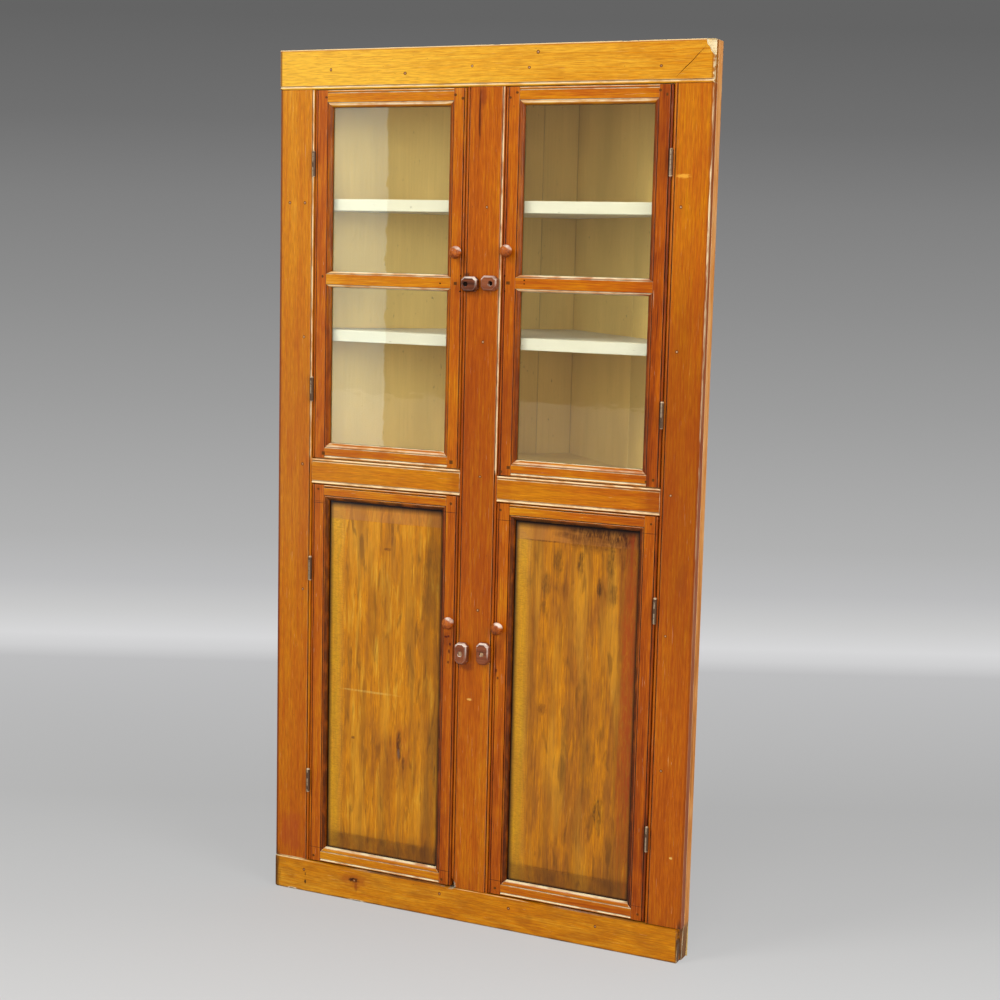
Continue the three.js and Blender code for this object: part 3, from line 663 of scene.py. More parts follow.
# How far two faces turn at a sharp edge, and at a sharp edge beside a face at least that wide
HARD_EDGE, FLAT_EDGE, FLAT_FACE = math.radians(38), math.radians(2), 5 * MM


def merged(node):
    """A copy of a CAD node with its corners shared and its flat faces whole."""
    bm = bmesh.new()
    bm.from_mesh(NODES[node].data)
    bmesh.ops.remove_doubles(bm, verts=bm.verts, dist=SAME_PLACE)
    bmesh.ops.dissolve_limit(bm, angle_limit=SAME_PLANE, verts=bm.verts, edges=bm.edges)
    return bm


def layer(bm, name):
    """The numbers that a piece's corners hold under that name."""
    return bm.verts.layers.float.get(name) or bm.verts.layers.float.new(name)


def extent(bm, axis):
    """A piece's least and greatest place along an axis."""
    places = [vert.co[axis] for vert in bm.verts]
    return min(places), max(places)


def breadth(face):
    """A face's area over its longest edge."""
    return face.calc_area() / max(edge.calc_length() for edge in face.edges)


def round_edges(bm, width, worn):
    """Rounds the outer corners, and marks them as arrises that are worn pale so far."""
    arris = layer(bm, "arris")
    sharp = [
        edge
        for edge in bm.edges
        if len(edge.link_faces) == 2
        and edge.is_convex
        and edge.calc_face_angle() > OUTER_CORNER
    ]
    made = bmesh.ops.bevel(
        bm, geom=sharp, offset=width, offset_type="OFFSET", segments=2, profile=0.5,
        affect="EDGES", clamp_overlap=True,
    )
    rounded = set(made["faces"])
    for vert in made["verts"]:
        if all(face in rounded for face in vert.link_faces):
            vert[arris] = worn


def slice_across(bm, axis, place):
    """Cuts a piece's faces where they cross a place on an axis."""
    normal = Vector((0, 0, 0))
    normal[axis] = 1
    geom = bm.verts[:] + bm.edges[:] + bm.faces[:]
    bmesh.ops.bisect_plane(bm, geom=geom, dist=1e-6, plane_co=normal * place, plane_no=normal)


def slice_along(bm, along, spacing):
    """Cuts a long piece across, so that wear can vary along it."""
    low, high = extent(bm, along)
    count = int((high - low) / spacing)
    for step in range(1, count):
        slice_across(bm, along, low + step * (high - low) / count)


# The long and the short bites out of a worn arris, as noise cells in a metre
LONG_BITES, SHORT_BITES = 34, 110


def wear_arrises(bm, depth):
    """Rubs the marked arrises back by about that depth, more in some places than others."""
    arris = bm.verts.layers.float["arris"]
    bm.normal_update()
    for vert in bm.verts:
        if vert[arris] > 0.0:
            long_bite, short_bite = (
                noise.noise(vert.co * cells) for cells in (LONG_BITES, SHORT_BITES)
            )
            bite = 0.5 + 0.5 * long_bite + 0.35 * short_bite
            vert.co -= vert.normal * depth * max(0.0, bite)


# How dark the shellac is at a piece's low end and at its high end, from 0 to 1: its depth, and
# painted light that leaves most pieces paler toward the top and the left
SHELLAC_AND_FALLOFF = {
    "frieze_board": (-0.02, 0.24),
    "base_board": (0.22, 0.33),
    "left_waist_rail": (0.3, 0.32),
    "right_waist_rail": (0.34, 0.46),
    "left_stile": (0.5, 0.31),
    "centre_stile": (0.5, 0.58),
    "right_stile": (0.57, 0.44),
    "upper_left_door_hinge_stile": (0.58, 0.52),
    "upper_left_door_lock_stile": (0.56, 0.48),
    "upper_right_door_lock_stile": (0.64, 0.58),
    "upper_right_door_hinge_stile": (0.76, 0.66),
    "lower_left_door_hinge_stile": (0.56, 0.5),
    "lower_left_door_lock_stile": (0.66, 0.58),
    "lower_right_door_lock_stile": (0.66, 0.56),
    "lower_right_door_hinge_stile": (0.72, 0.64),
    "lower_left_door_panel": (0.42, 0.34),
    "lower_right_door_panel": (0.54, 0.58),
    "head_rail": (0.3, 0.38),
    "upper_right_door_head_rail": (0.36, 0.46),
    "lower_left_door_head_rail": (0.4, 0.52),
    "lower_right_door_head_rail": (0.36, 0.64),
    "foot_rail": (0.42, 0.5),
    "lower_left_door_foot_rail": (0.36, 0.42),
    "glazing_bar": (0.31, 0.42),
    "upper_right_door_glazing_bar": (0.5, 0.54),
    "return": (0.6, 0.42),
    "knob": (0.42, 0.42),
    "turn_button": (0.5, 0.5),
    "upper_left_door_turn_button": (0.85, 0.85),
}


def depth_of(node):
    """How dark a piece's shellac is at its two ends, its depth with painted light: the entry for
    its name, or for its kind of piece.
    """
    kinds = [name for name in SHELLAC_AND_FALLOFF if node.endswith(name)]
    return SHELLAC_AND_FALLOFF[max(kinds, key=len)] if kinds else (0.5, 0.5)


def mark_up(bm, node, along):
    """Writes the grain's place, the shellac's depth with its painted light, and the dirt in the
    inner corners.
    """
    chance = random.Random(node)
    shift = Vector([chance.uniform(-4, 4) for _ in range(3)])
    first, second = [axis for axis in (X, Z, Y) if axis != along]
    grain = bm.verts.layers.float_vector.new("grain")
    dirt_and_shade, depth = layer(bm, "dirt_and_shade"), layer(bm, "depth")
    low_depth, high_depth = depth_of(node)
    low, high = extent(bm, along)
    for vert in bm.verts:
        place = vert.co
        vert[grain] = Vector((place[along], place[first], place[second])) + shift
        vert[depth] += low_depth + (high_depth - low_depth) * (place[along] - low) / (high - low)
    for vert in narrow_verts(bm, NARROW_FACE):
        for edge in vert.link_edges:
            inner = len(edge.link_faces) == 2 and edge.calc_face_angle_signed() < -INNER_CORNER
            if inner and all(face.material_index == 0 for face in edge.link_faces):
                vert[dirt_and_shade] = 1.0


# The widest face that counts as narrow: on any piece, a door's moulding, its beads or their flanks
NARROW_FACE, MOULDING_FACE, BEAD_FACE, FLANK_FACE = 7 * MM, 4.5 * MM, 4 * MM, 3 * MM


def narrow_verts(bm, width):
    """The corners that touch faces narrower than that alone, as those of a bead do."""
    bm.normal_update()
    slim = {face: breadth(face) < width for face in bm.faces}
    return [vert for vert in bm.verts if all(slim[face] for face in vert.link_faces)]


def darken_beads(bm):
    """Lets the shellac lie thick on a door stile's beads and dirt on its outer edge."""
    arris, dirt_and_shade, depth = layer(bm, "arris"), layer(bm, "dirt_and_shade"), layer(bm, "depth")
    low, high = extent(bm, X)
    edge = 1.2 * MM
    for vert in narrow_verts(bm, BEAD_FACE):
        vert[depth] = 0.07
        if not low + edge < vert.co.x < high - edge and vert.co.y < 3 * MM:
            vert[dirt_and_shade] = 0.5
            vert[arris] = 0.0


def catch_light(bm, lowest=0.3):
    """Paints a highlight, with some wear, on the upper flanks of a level piece's beads, where they
    face the lamps above; the lowest is how far they must face up."""
    arris = layer(bm, "arris")
    for vert in narrow_verts(bm, FLANK_FACE):
        if lowest < vert.normal.z < 0.97 and vert.normal.y < -0.2:
            vert[arris] = 1.0


# Bands along the doors' mouldings, by depth behind the door's face in millimetres: start, end,
# how pale they are, a painted highlight with some wear, and how dark, painted shade in the
# moulding's recess with some dirt
BANDS = {
    "upper_head_rail": ((0.9, 1.4, 1.0, 0.0), (4.0, 11.0, 0.0, 0.6)),
    "lower_head_rail": ((1.0, 11.0, 0.0, 0.95),),
    "upper_foot_rail": ((0.9, 1.4, 0.8, 0.0), (6.0, 11.0, 1.0, 0.0)),
    "lower_foot_rail": ((4.0, 11.0, 1.0, 0.0),),
    "upper_glazing_bar": ((0.9, 1.4, 0.7, 0.0), (4.0, 11.0, 1.0, 0.0)),
    "upper_stile": ((0.9, 11.0, 0.0, 0.55),),
    "lower_stile": ((0.9, 11.0, 0.0, 0.85),),
}


def age_moulding(node):
    """What pales and darkens a door member's moulding, for its piece and its level: painted
    highlights with wear, and painted shade with dirt.
    """
    level = node.split("_")[0]
    role = "stile" if node.endswith("stile") else node.split("door_")[1]

    def age(bm):
        if role == "stile":
            darken_beads(bm)
        else:
            catch_light(bm)
        arris, dirt_and_shade = layer(bm, "arris"), layer(bm, "dirt_and_shade")
        for vert in narrow_verts(bm, MOULDING_FACE):
            for start, end, rubbed_and_lit, darkened in BANDS[f"{level}_{role}"]:
                if start * MM < vert.co.y < end * MM:
                    vert[arris], vert[dirt_and_shade] = rubbed_and_lit, max(darkened, vert[dirt_and_shade])

    return age


def sharpen(bm):
    """Smooth shading on narrow rounded faces, sharp edges round wide flat ones."""
    wide = {face: breadth(face) > FLAT_FACE for face in bm.faces}
    for face in bm.faces:
        face.smooth = True
    for edge in bm.edges:
        if len(edge.link_faces) == 2:
            angle = edge.calc_face_angle()
            flat = any(wide[face] for face in edge.link_faces)
            edge.smooth = not (angle > HARD_EDGE or (flat and angle > FLAT_EDGE))


def placed(name, data):
    """A new object in the scene with that data."""
    made = bpy.data.objects.new(name, data)
    bpy.context.scene.collection.objects.link(made)
    return made


def finished_object(name, bm, finishes):
    """A mesh object in the scene from a bmesh, which is used up."""
    mesh = bpy.data.meshes.new(name)
    bm.to_mesh(mesh)
    bm.free()
    for finish in finishes:
        mesh.materials.append(finish_of(finish))
    return placed(name, mesh)


def settle(made):
    """Turns what an object's modifiers make of it into its plain mesh."""
    bpy.context.view_layer.update()
    depsgraph = bpy.context.evaluated_depsgraph_get()
    mesh = bpy.data.meshes.new_from_object(made.evaluated_get(depsgraph))
    made.modifiers.clear()
    made.data = mesh


def stands_for(made, node):
    """Puts a finished piece in the place of its CAD node."""
    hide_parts(node)
    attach(made, NODES[node]["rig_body"])
    return made


def dress(
    node, finishes, along, rounding, spacing=0.0, wear=0.0, worn=1.0, carve=(), shape=None,
    pick=None,
):
    """A finished piece in a CAD node's place: rounded, cut across, shaped, worn and carved."""
    bm = merged(node)
    if rounding:
        round_edges(bm, rounding, worn)
    if spacing:
        slice_along(bm, along, spacing)
    if shape:
        shape(bm)
    if wear:
        wear_arrises(bm, wear)
    if carve:
        bm = carved(bm, carve, finishes)
    mark_up(bm, node, along)
    sharpen(bm)
    if pick:
        for face in bm.faces:
            face.material_index = pick(face)
    return stands_for(finished_object(f"{node}_finished", bm, finishes), node)


def cut(made, cutters):
    """Takes the cutters' room out of an object."""
    for cutter in cutters:
        taken = made.modifiers.new("cut", "BOOLEAN")
        taken.operation = "DIFFERENCE"
        taken.solver = "EXACT"
        taken.object = cutter
    settle(made)
    for cutter in cutters:
        bpy.data.objects.remove(cutter)


def carved(bm, rooms, finishes):
    """The piece with rooms taken out of it; each room is an outline of [x, z] points, its front
    and back, all in millimetres, the number of the finish that it bares and its taper."""
    block = finished_object("block", bm, finishes)
    cut(block, [room_object(room, finishes) for room in rooms])
    whole = bmesh.new()
    whole.from_mesh(block.data)
    bpy.data.objects.remove(block)
    return whole


def bridge(bm, first, second):
    """Faces between two rings of corners, of which one may be a single point."""
    count = max(len(first), len(second))
    for i in range(count):
        j = (i + 1) % count
        corners = [first[i % len(first)], first[j % len(first)]]
        corners += [second[j % len(second)], second[i % len(second)]]
        bm.faces.new(list(dict.fromkeys(corners)))


def room_object(room, finishes):
    """A prism that stands for a room to be cut, with its back as large a share of its front as
    the taper says."""
    outline, front, back, bared, taper = room
    bm = bmesh.new()
    middle = sum((Vector(point) for point in outline), Vector((0, 0))) / len(outline)
    rings = []
    for y, size in ((front, 1.0), (back, taper)):
        points = [middle + (Vector(point) - middle) * size for point in outline]
        rings.append([bm.verts.new(Vector((x, y, z)) * MM) for x, z in points])
    bm.faces.new(rings[0])
    bm.faces.new(rings[1][::-1])
    bridge(bm, rings[1], rings[0])
    bmesh.ops.recalc_face_normals(bm, faces=bm.faces)
    for face in bm.faces:
        face.material_index = bared
    return finished_object("room", bm, finishes)


def crack(points, width, front, depth):
    """The room of a crack along [x, z] points, narrow at its ends."""
    last = len(points) - 1
    sides = [[], []]
    for i, point in enumerate(points):
        ahead = Vector(points[min(i + 1, last)]) - Vector(points[max(i - 1, 0)])
        across = Vector((-ahead.y, ahead.x)).normalized() * width / 2
        across *= 0.2 if i in (0, last) else 1.0
        sides[0].append(tuple(Vector(point) + across))
        sides[1].append(tuple(Vector(point) - across))
    return (sides[0] + sides[1][::-1], front - 1, front + depth, 0, 1.0)


class CupboardOperator(bpy.types.Operator):
    """Shared settings of the cupboard's operators"""

    bl_options = {"REGISTER", "UNDO"}


# Rooms worn or broken out of the face boards: outline, front, back, bared finish and taper
FRIEZE_ROOMS = (
    crack([(462, 2019), (480, 2037), (497, 2052), (513, 2069), (529, 2084)], 1.5, -4, 5),
    ([(529, 2101), (531, 2088), (537, 2083), (541, 2073), (547, 2066), (551, 2063), (551, 2101)],
     -6, 9, 1, 0.86),
    ([(330, 2101), (335, 2098.4), (343, 2097.6), (352, 2098.8), (360, 2101)], -6, 3, 1, 0.9),
    ([(366, 2101), (371, 2098.8), (377, 2101)], -6, 2, 1, 0.9),
    ([(12, 2101), (20, 2099), (33, 2098.6), (40, 2101)], -6, 2, 0, 0.9),
)
BASE_ROOMS = (
    ([(-551, -2), (-541, -2), (-544, 1), (-547, 4), (-548.6, 8), (-551, 9)], -6, 24, 0, 1.0),
    ([(-510, -2), (-506, 3.4), (-497, 4.4), (-489, 2.6), (-484, -2)], -6, -2.4, 1, 0.9),
    ([(-334, -2), (-320, 2.8), (-300, 3.2), (-286, -2)], -6, -2.4, 1, 0.9),
    ([(538, 84), (536, 78), (539, 70), (538, 58), (541, 50), (544, 40), (544, 84)], -6, 24, 0, 1.0),
)
CENTRE_ROOMS = (
    crack([(-14.7, 2003.5), (-13.4, 1972), (-14.2, 1940), (-12.6, 1912), (-11.8, 1886)], 0.9, 0, 6),
    ([(-48, 82), (-37.5, 82), (-39, 90), (-41.5, 100), (-44.5, 110), (-47, 119)], -2, 24, 0, 1.0),
)
# The height of the base board's unworn top and the places along its worn front edge, as x and z,
# all in millimetres
BASE_TOP = 83
BASE_EDGE = (
    (-549, 82.5), (-460, 82.5), (-424, 82), (-377, 79), (-353, 78), (-300, 74), (-242, 71),
    (-186, 71), (-130, 69), (-91, 70), (-31, 82), (141, 82.5), (246, 74), (349, 75), (460, 77),
    (499, 78.5), (549, 80),
)


def worn_height(x):
    """The height of the base board's front edge at that x, in millimetres."""
    for (start, low), (end, high) in zip(BASE_EDGE, BASE_EDGE[1:]):
        if start <= x <= end:
            return low + (high - low) * (x - start) / (end - start)
    return BASE_EDGE[-1][1]


def wear_base(bm):
    """Wears the base board's front edge down in a slope, as feet have done."""
    dirt_and_shade = layer(bm, "dirt_and_shade")
    slice_across(bm, Y, 5 * MM)
    top = extent(bm, Z)[1]
    for vert in bm.verts:
        if vert.co.z > top - 1.2 * MM and vert.co.y < 6 * MM:
            if vert.co.y > 0:
                vert[dirt_and_shade] = 0.9
            else:
                vert.co.z -= max(0.0, BASE_TOP - worn_height(vert.co.x / MM)) * MM


# The height above which a stile's beads catch the light
LIT_FROM = 1110 * MM


def light_stile_beads(bm):
    """Paints a highlight on the left flank of a stile's beads above the waist, where it catches the
    light.
    """
    arris = layer(bm, "arris")
    inside = extent(bm, X)[0] + 40 * MM
    for vert in narrow_verts(bm, FLANK_FACE):
        lit = vert.normal.x < 0.35 and vert.normal.y < -0.2 and vert.co.x > inside
        if lit and vert.co.z > LIT_FROM:
            vert[arris] = 1.0


class CUPBOARD_OT_face_frame(CupboardOperator):
    """Finish the stiles, the waist rails, the frieze and the base"""

    bl_idname = "cupboard.face_frame"
    bl_label = "Face Frame"

    def execute(self, context):
        rounding = context.scene.cupboard_sizes.board_rounding
        pine = ["frame", "fresh"]
        # Spacing of the cuts, depth of the wear and how pale the arrises are
        stiles, boards = (14 * MM, 0.5 * MM, 0.3), (12 * MM, 0.6 * MM, 0.8)
        dress("left_stile", pine, Z, rounding, *stiles, shape=light_stile_beads)
        dress("centre_stile", pine, Z, rounding, *stiles, carve=CENTRE_ROOMS, shape=light_stile_beads)
        dress("right_stile", pine, Z, rounding, *stiles)
        dress("frieze_board", pine, X, rounding, *boards, carve=FRIEZE_ROOMS, shape=catch_light)
        dress("base_board", pine, X, rounding * 2.2, *boards, carve=BASE_ROOMS, shape=wear_base)
        for side in ("left", "right"):
            rail = f"{side}_waist_rail"
            dress(rail, pine, X, rounding, *boards, shape=lambda bm: catch_light(bm, -0.1))
        return {"FINISHED"}


def wear_foot(bm):
    """Wears a side board's outer face back at its foot."""
    outer = max(abs(place) for place in extent(bm, X))
    for vert in bm.verts:
        low = 1 - vert.co.z / (84 * MM)
        if low > 0 and abs(vert.co.x) > outer - 3 * MM:
            vert.co.x -= math.copysign((1.6 + 2.4 * low) * MM, vert.co.x)


class CUPBOARD_OT_sides_and_back(CupboardOperator):
    """Finish the side boards, and the wall planks with paint inside and bare wood outside"""

    bl_idname = "cupboard.sides_and_back"
    bl_label = "Sides and Back"

    def execute(self, context):
        rounding = context.scene.cupboard_sizes.board_rounding
        inside = ["olive", "raw"]
        for side in ("left", "right"):
            dress(f"{side}_return", ["bare"], Z, rounding, 14 * MM, 0.8 * MM, shape=wear_foot)
            for plank in (f"{side}_wall_corner_plank", f"{side}_wall_front_plank"):
                dress(plank, inside, Z, rounding, pick=lambda face: int(face.normal.y >= -0.5))
        return {"FINISHED"}


class CUPBOARD_OT_boards(CupboardOperator):
    """Finish the shelves and the other horizontal boards"""

    bl_idname = "cupboard.boards"
    bl_label = "Shelves and Boards"

    def execute(self, context):
        rounding = context.scene.cupboard_sizes.board_rounding
        for node in ("upper_high_shelf", "upper_low_shelf"):
            dress(node, ["cream"], X, rounding, 20 * MM, 0.5 * MM)
        for node in ("waist_board", "lower_high_shelf", "lower_low_shelf", "bottom_board"):
            dress(node, ["olive"], X, rounding)
        top = ["olive", "raw"]
        dress("top_board", top, X, rounding, pick=lambda face: int(face.normal.z > 0.5))
        return {"FINISHED"}


class CUPBOARD_OT_door_frames(CupboardOperator):
    """Finish the doors' stiles, rails and glazing bars"""

    bl_idname = "cupboard.door_frames"
    bl_label = "Door Frames"

    def execute(self, context):
        rounding = context.scene.cupboard_sizes.door_rounding
        members = (("hinge_stile", Z), ("lock_stile", Z), ("head_rail", X), ("foot_rail", X))
        for door in DOORS:
            for role, along in (*members, ("glazing_bar", X)):
                node = f"{door}_{role}"
                if node in NODES:
                    shape = age_moulding(node)
                    dress(node, ["door"], along, rounding, 16 * MM, 0.2 * MM, 0.2, shape=shape)
        return {"FINISHED"}


def opening(door):
    """The lower left and the upper right corner of what a door's frame leaves open."""
    near, far = f"{door}_hinge_stile", f"{door}_lock_stile"
    if "right" in door:
        near, far = far, near
    left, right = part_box(near)[1].x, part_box(far)[0].x
    foot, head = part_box(f"{door}_foot_rail")[1].z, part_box(f"{door}_head_rail")[0].z
    return Vector((left, 0, foot)), Vector((right, 0, head))


def mark_edges(bm, low, high):
    """Marks how far each corner of a raised panel lies from each side of its frame."""
    from_low = bm.verts.layers.float_vector.new("low_edges")
    from_high = bm.verts.layers.float_vector.new("high_edges")
    for vert in bm.verts:
        vert[from_low] = vert.co - low
        vert[from_high] = high - vert.co


class CUPBOARD_OT_panels(CupboardOperator):
    """Finish the raised panels"""

    bl_idname = "cupboard.panels"
    bl_label = "Raised Panels"

    def execute(self, context):
        for door in DOORS[2:]:
            low, high = opening(door)
            shape = lambda bm: mark_edges(bm, low, high)
            made = dress(f"{door}_panel", ["panel"], Z, 0.0, shape=shape)
            clean = made.data.attributes["dirt_and_shade"]
            clean.data.foreach_set("value", [0.0] * len(made.data.vertices))
        return {"FINISHED"}


class CUPBOARD_OT_glass(CupboardOperator):
    """Glaze the upper doors and bed the panes in putty"""

    bl_idname = "cupboard.glass"
    bl_label = "Glass and Putty"

    def execute(self, context):
        width = context.scene.cupboard_sizes.putty_width
        for door in DOORS[:2]:
            for node in (f"{door}_lower_pane", f"{door}_upper_pane"):
                dress(node, ["glass"], X, 0.0)
                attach(putty_fillet(f"{node}_putty", *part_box(node), width), door)
        return {"FINISHED"}


# How far the putty reaches past a pane's edge
PUTTY_LAP = 1.0 * MM


def putty_fillet(name, low, high, width):
    """A sloping bed of putty round the back of a pane."""
    bm = bmesh.new()
    rings = []
    for inset, y in ((-PUTTY_LAP, high.y), (width, high.y), (-PUTTY_LAP, high.y + width)):
        left, right, foot, head = low.x + inset, high.x - inset, low.z + inset, high.z - inset
        corners = ((left, foot), (right, foot), (right, head), (left, head))
        rings.append([bm.verts.new((x, y, z)) for x, z in corners])
    for i, ring in enumerate(rings):
        bridge(bm, ring, rings[(i + 1) % len(rings)])
    bmesh.ops.recalc_face_normals(bm, faces=bm.faces)
    return finished_object(name, bm, ["putty"])


def turned(name, profile, centre, node):
    """A knob turned about an axis along Y, from [radius, y] points, with a painted highlight along
    its upper rim and painted shade on its underside.
    """
    bm = bmesh.new()
    rings = []
    for radius, y in profile:
        angles = [2 * math.pi * i / KNOB_SIDES for i in range(KNOB_SIDES if radius else 1)]
        places = [(radius * math.cos(angle), radius * math.sin(angle)) for angle in angles]
        rings.append([bm.verts.new((centre.x + x, y, centre.z + z)) for x, z in places])
    for first, second in zip(rings, rings[1:]):
        bridge(bm, first, second)
    bmesh.ops.recalc_face_normals(bm, faces=bm.faces)
    arris, depth = layer(bm, "arris"), layer(bm, "depth")
    bm.normal_update()
    # Painted highlight on the upper rim, and painted shade under the knob
    for vert in bm.verts:
        shine = vert.normal.z * 0.85 + vert.normal.x * 0.4 - 0.5
        if shine > 0 and vert.normal.y > -0.8:
            vert[arris] = min(1.0, shine * 5)
        vert[depth] = 0.4 * max(0.0, -vert.normal.z - 0.1)
    mark_up(bm, node, Y)
    sharpen(bm)
    return finished_object(name, bm, ["knob"])


# A knob's dowel, the place of its foot in front of the door's face, the steps and the first angle
# of its ball, and its sides
DOWEL_RADIUS, KNOB_FOOT = 4.6 * MM, -0.3 * MM
BALL_STEPS, BALL_START, KNOB_SIDES = 16, math.radians(-62), 40


def knob_profile(radius, front, back):
    """A knob's outline as [radius, y] points, from its dowel's end to the middle of its front."""
    profile = [(0, back), (DOWEL_RADIUS, back), (DOWEL_RADIUS, KNOB_FOOT)]
    profile += [(radius * 0.6, KNOB_FOOT), (radius * 0.56, front * 0.1)]
    for i in range(BALL_STEPS + 1):
        angle = BALL_START + i / BALL_STEPS * (math.pi / 2 - BALL_START)
        out = radius * math.cos(angle) if i < BALL_STEPS else 0
        reach = 0.48 if angle > 0 else 0.4
        profile.append((out, front * (0.52 + reach * math.sin(angle))))
    return profile


class CUPBOARD_OT_knobs(CupboardOperator):
    """Turn the doors' knobs"""

    bl_idname = "cupboard.knobs"
    bl_label = "Knobs"

    def execute(self, context):
        for door in DOORS:
            node = f"{door}_knob"
            low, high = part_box(node)
            profile = knob_profile((high.z - low.z) / 2 * 0.99, low.y, high.y)
            stands_for(turned(f"{node}_finished", profile, (low + high) / 2, node), node)
        return {"FINISHED"}


# How far round a plugged hole the wood is plain, how deep the knife's unevenness is, and its seed
PLUG_REACH, KNIFE_CUT, KNIFE_SEED = 8 * MM, 0.35 * MM, 7


def whittle(bm, plugged):
    """Leaves a turn button's faces a little uneven, as a knife does, and paints a highlight on its
    chamfers that face up. A plugged screw hole, given by its centre, has no pale rim."""
    bmesh.ops.subdivide_edges(bm, edges=bm.edges[:], cuts=1, use_grid_fill=True)
    arris = layer(bm, "arris")
    bm.normal_update()
    noise.seed_set(KNIFE_SEED)
    for vert in bm.verts:
        if plugged and math.hypot(vert.co.x - plugged.x, vert.co.z - plugged.z) < PLUG_REACH:
            vert[arris] = 0.0
        # Painted highlight on the chamfers that face up
        elif vert.normal.z > 0.3 and vert.normal.y < -0.1:
            vert[arris] = 0.9
        wobble = noise.noise_vector(vert.co * 60)
        vert.co += Vector((wobble.x, -abs(wobble.y) * 0.2, wobble.z)) * KNIFE_CUT


# A screw head's thickness, its slot's depth and width, and how far the slot is turned, in radians
HEAD_THICKNESS, SLOT_DEPTH, SLOT_WIDTH, SLOT_TURN = 1.6 * MM, 1.4 * MM, 0.9 * MM, 0.5


def slotted_screw(name, centre, radius, y, body, finish):
    """A round-headed screw with a slot, seen along +Y."""
    bm = bmesh.new()
    seat = Matrix.Translation((centre.x, y, centre.z)) @ Matrix.Rotation(math.pi / 2, 4, "X")
    bmesh.ops.create_cone(
        bm, cap_ends=True, segments=20, radius1=radius, radius2=radius * 0.7,
        depth=HEAD_THICKNESS, matrix=seat,
    )
    layer(bm, "arris")
    sharpen(bm)
    head = finished_object(name, bm, [finish])
    slot = bmesh.new()
    size = Matrix.Diagonal((radius * 3, SLOT_DEPTH, SLOT_WIDTH, 1))
    front = Matrix.Translation((centre.x, y - HEAD_THICKNESS / 2, centre.z))
    bmesh.ops.create_cube(slot, matrix=front @ Matrix.Rotation(SLOT_TURN, 4, "Y") @ size)
    cut(head, [finished_object("slot", slot, [finish])])
    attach(head, body)


BUTTON_ROUNDING, BUTTON_SCREW_RADIUS = 1.2 * MM, 5.5 * MM
# How deep each turn button's screw is sunk, in millimetres, and what is seen there
BUTTON_SCREWS = {
    "upper_left_door": (1.8, "hole"),
    "upper_right_door": (5.4, "hole"),
    "lower_left_door": (1.6, "nail"),
    "lower_right_door": (1.6, "nail"),
}


class CUPBOARD_OT_turn_buttons(CupboardOperator):
    """Whittle the turn buttons and drive their screws"""

    bl_idname = "cupboard.turn_buttons"
    bl_label = "Turn Buttons"

    def execute(self, context):
        joints = {joint["child"]: joint for joint in frame["joints"]}
        for door, (sunk, finish) in BUTTON_SCREWS.items():
            node = f"{door}_turn_button"
            body = NODES[node]["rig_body"]
            centre = Vector(joints[body]["pos_m"])
            plugged = centre if door == "upper_left_door" else None
            shape = lambda bm: whittle(bm, plugged)
            made = dress(node, ["button"], X, BUTTON_ROUNDING, worn=0.2, shape=shape)
            front = made.bound_box[0][Y] + sunk * MM
            name = f"{door}_button_screw"
            slotted_screw(name, centre, BUTTON_SCREW_RADIUS, front, body, finish)
        return {"FINISHED"}


def highlight_barrel(bm):
    """Paints highlights on the barrel's ends and in a broken line down its front, where the lamps
    catch the iron.
    """
    arris = layer(bm, "arris")
    bm.normal_update()
    low, high = extent(bm, Z)
    for vert in bm.verts:
        near = min(vert.co.z - low, high - vert.co.z)
        front = vert.normal.y < -0.93 and noise.noise(vert.co * 60) > -0.1
        vert[arris] = 0.9 if near < 3 * MM else 0.7 if front else 0.0


class CUPBOARD_OT_hinges(CupboardOperator):
    """Forge the hinges' barrels and leaves"""

    bl_idname = "cupboard.hinges"
    bl_label = "Hinges"

    def execute(self, context):
        for door in DOORS:
            for level in ("low", "high"):
                node = f"{door}_{level}_hinge"
                dress(node, ["iron"], Z, 0.3 * MM, 3 * MM, shape=highlight_barrel)
                hinge_leaf(door, node, context.scene.cupboard_sizes.screw_radius)
        return {"FINISHED"}


# The leaf on a door's edge: its size, how far into the edge and behind the face its middle lies,
# and its screws' places on it, back and up, in millimetres
LEAF_SIZE = (1.4 * MM, 17 * MM, 55 * MM)
LEAF_SUNK, LEAF_BACK = 0.6 * MM, 8.8 * MM
LEAF_SCREWS = ((3, -18), (-3, 0), (3, 18))


def hinge_leaf(door, hinge, screw):
    """The leaf let into the door's edge, with its screws."""
    low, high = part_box(hinge)
    stile_low, stile_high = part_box(f"{door}_hinge_stile")
    edge, inward = (stile_low.x, 1) if "left" in door else (stile_high.x, -1)
    centre = Vector((edge + inward * LEAF_SUNK, LEAF_BACK, (low.z + high.z) / 2))
    size = Matrix.Diagonal((*LEAF_SIZE, 1))
    bm = bmesh.new()
    bmesh.ops.create_cube(bm, matrix=Matrix.Translation(centre) @ size)
    for back, rise in LEAF_SCREWS:
        seat = Matrix.Translation(centre + Vector((0, back, rise)) * MM)
        bmesh.ops.create_cone(
            bm, cap_ends=True, segments=14, radius1=screw, radius2=screw, depth=HEAD_THICKNESS,
            matrix=seat @ Matrix.Rotation(math.pi / 2, 4, "Y"),
        )
    layer(bm, "arris")
    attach(finished_object(f"{hinge}_leaf", bm, ["iron"]), door)


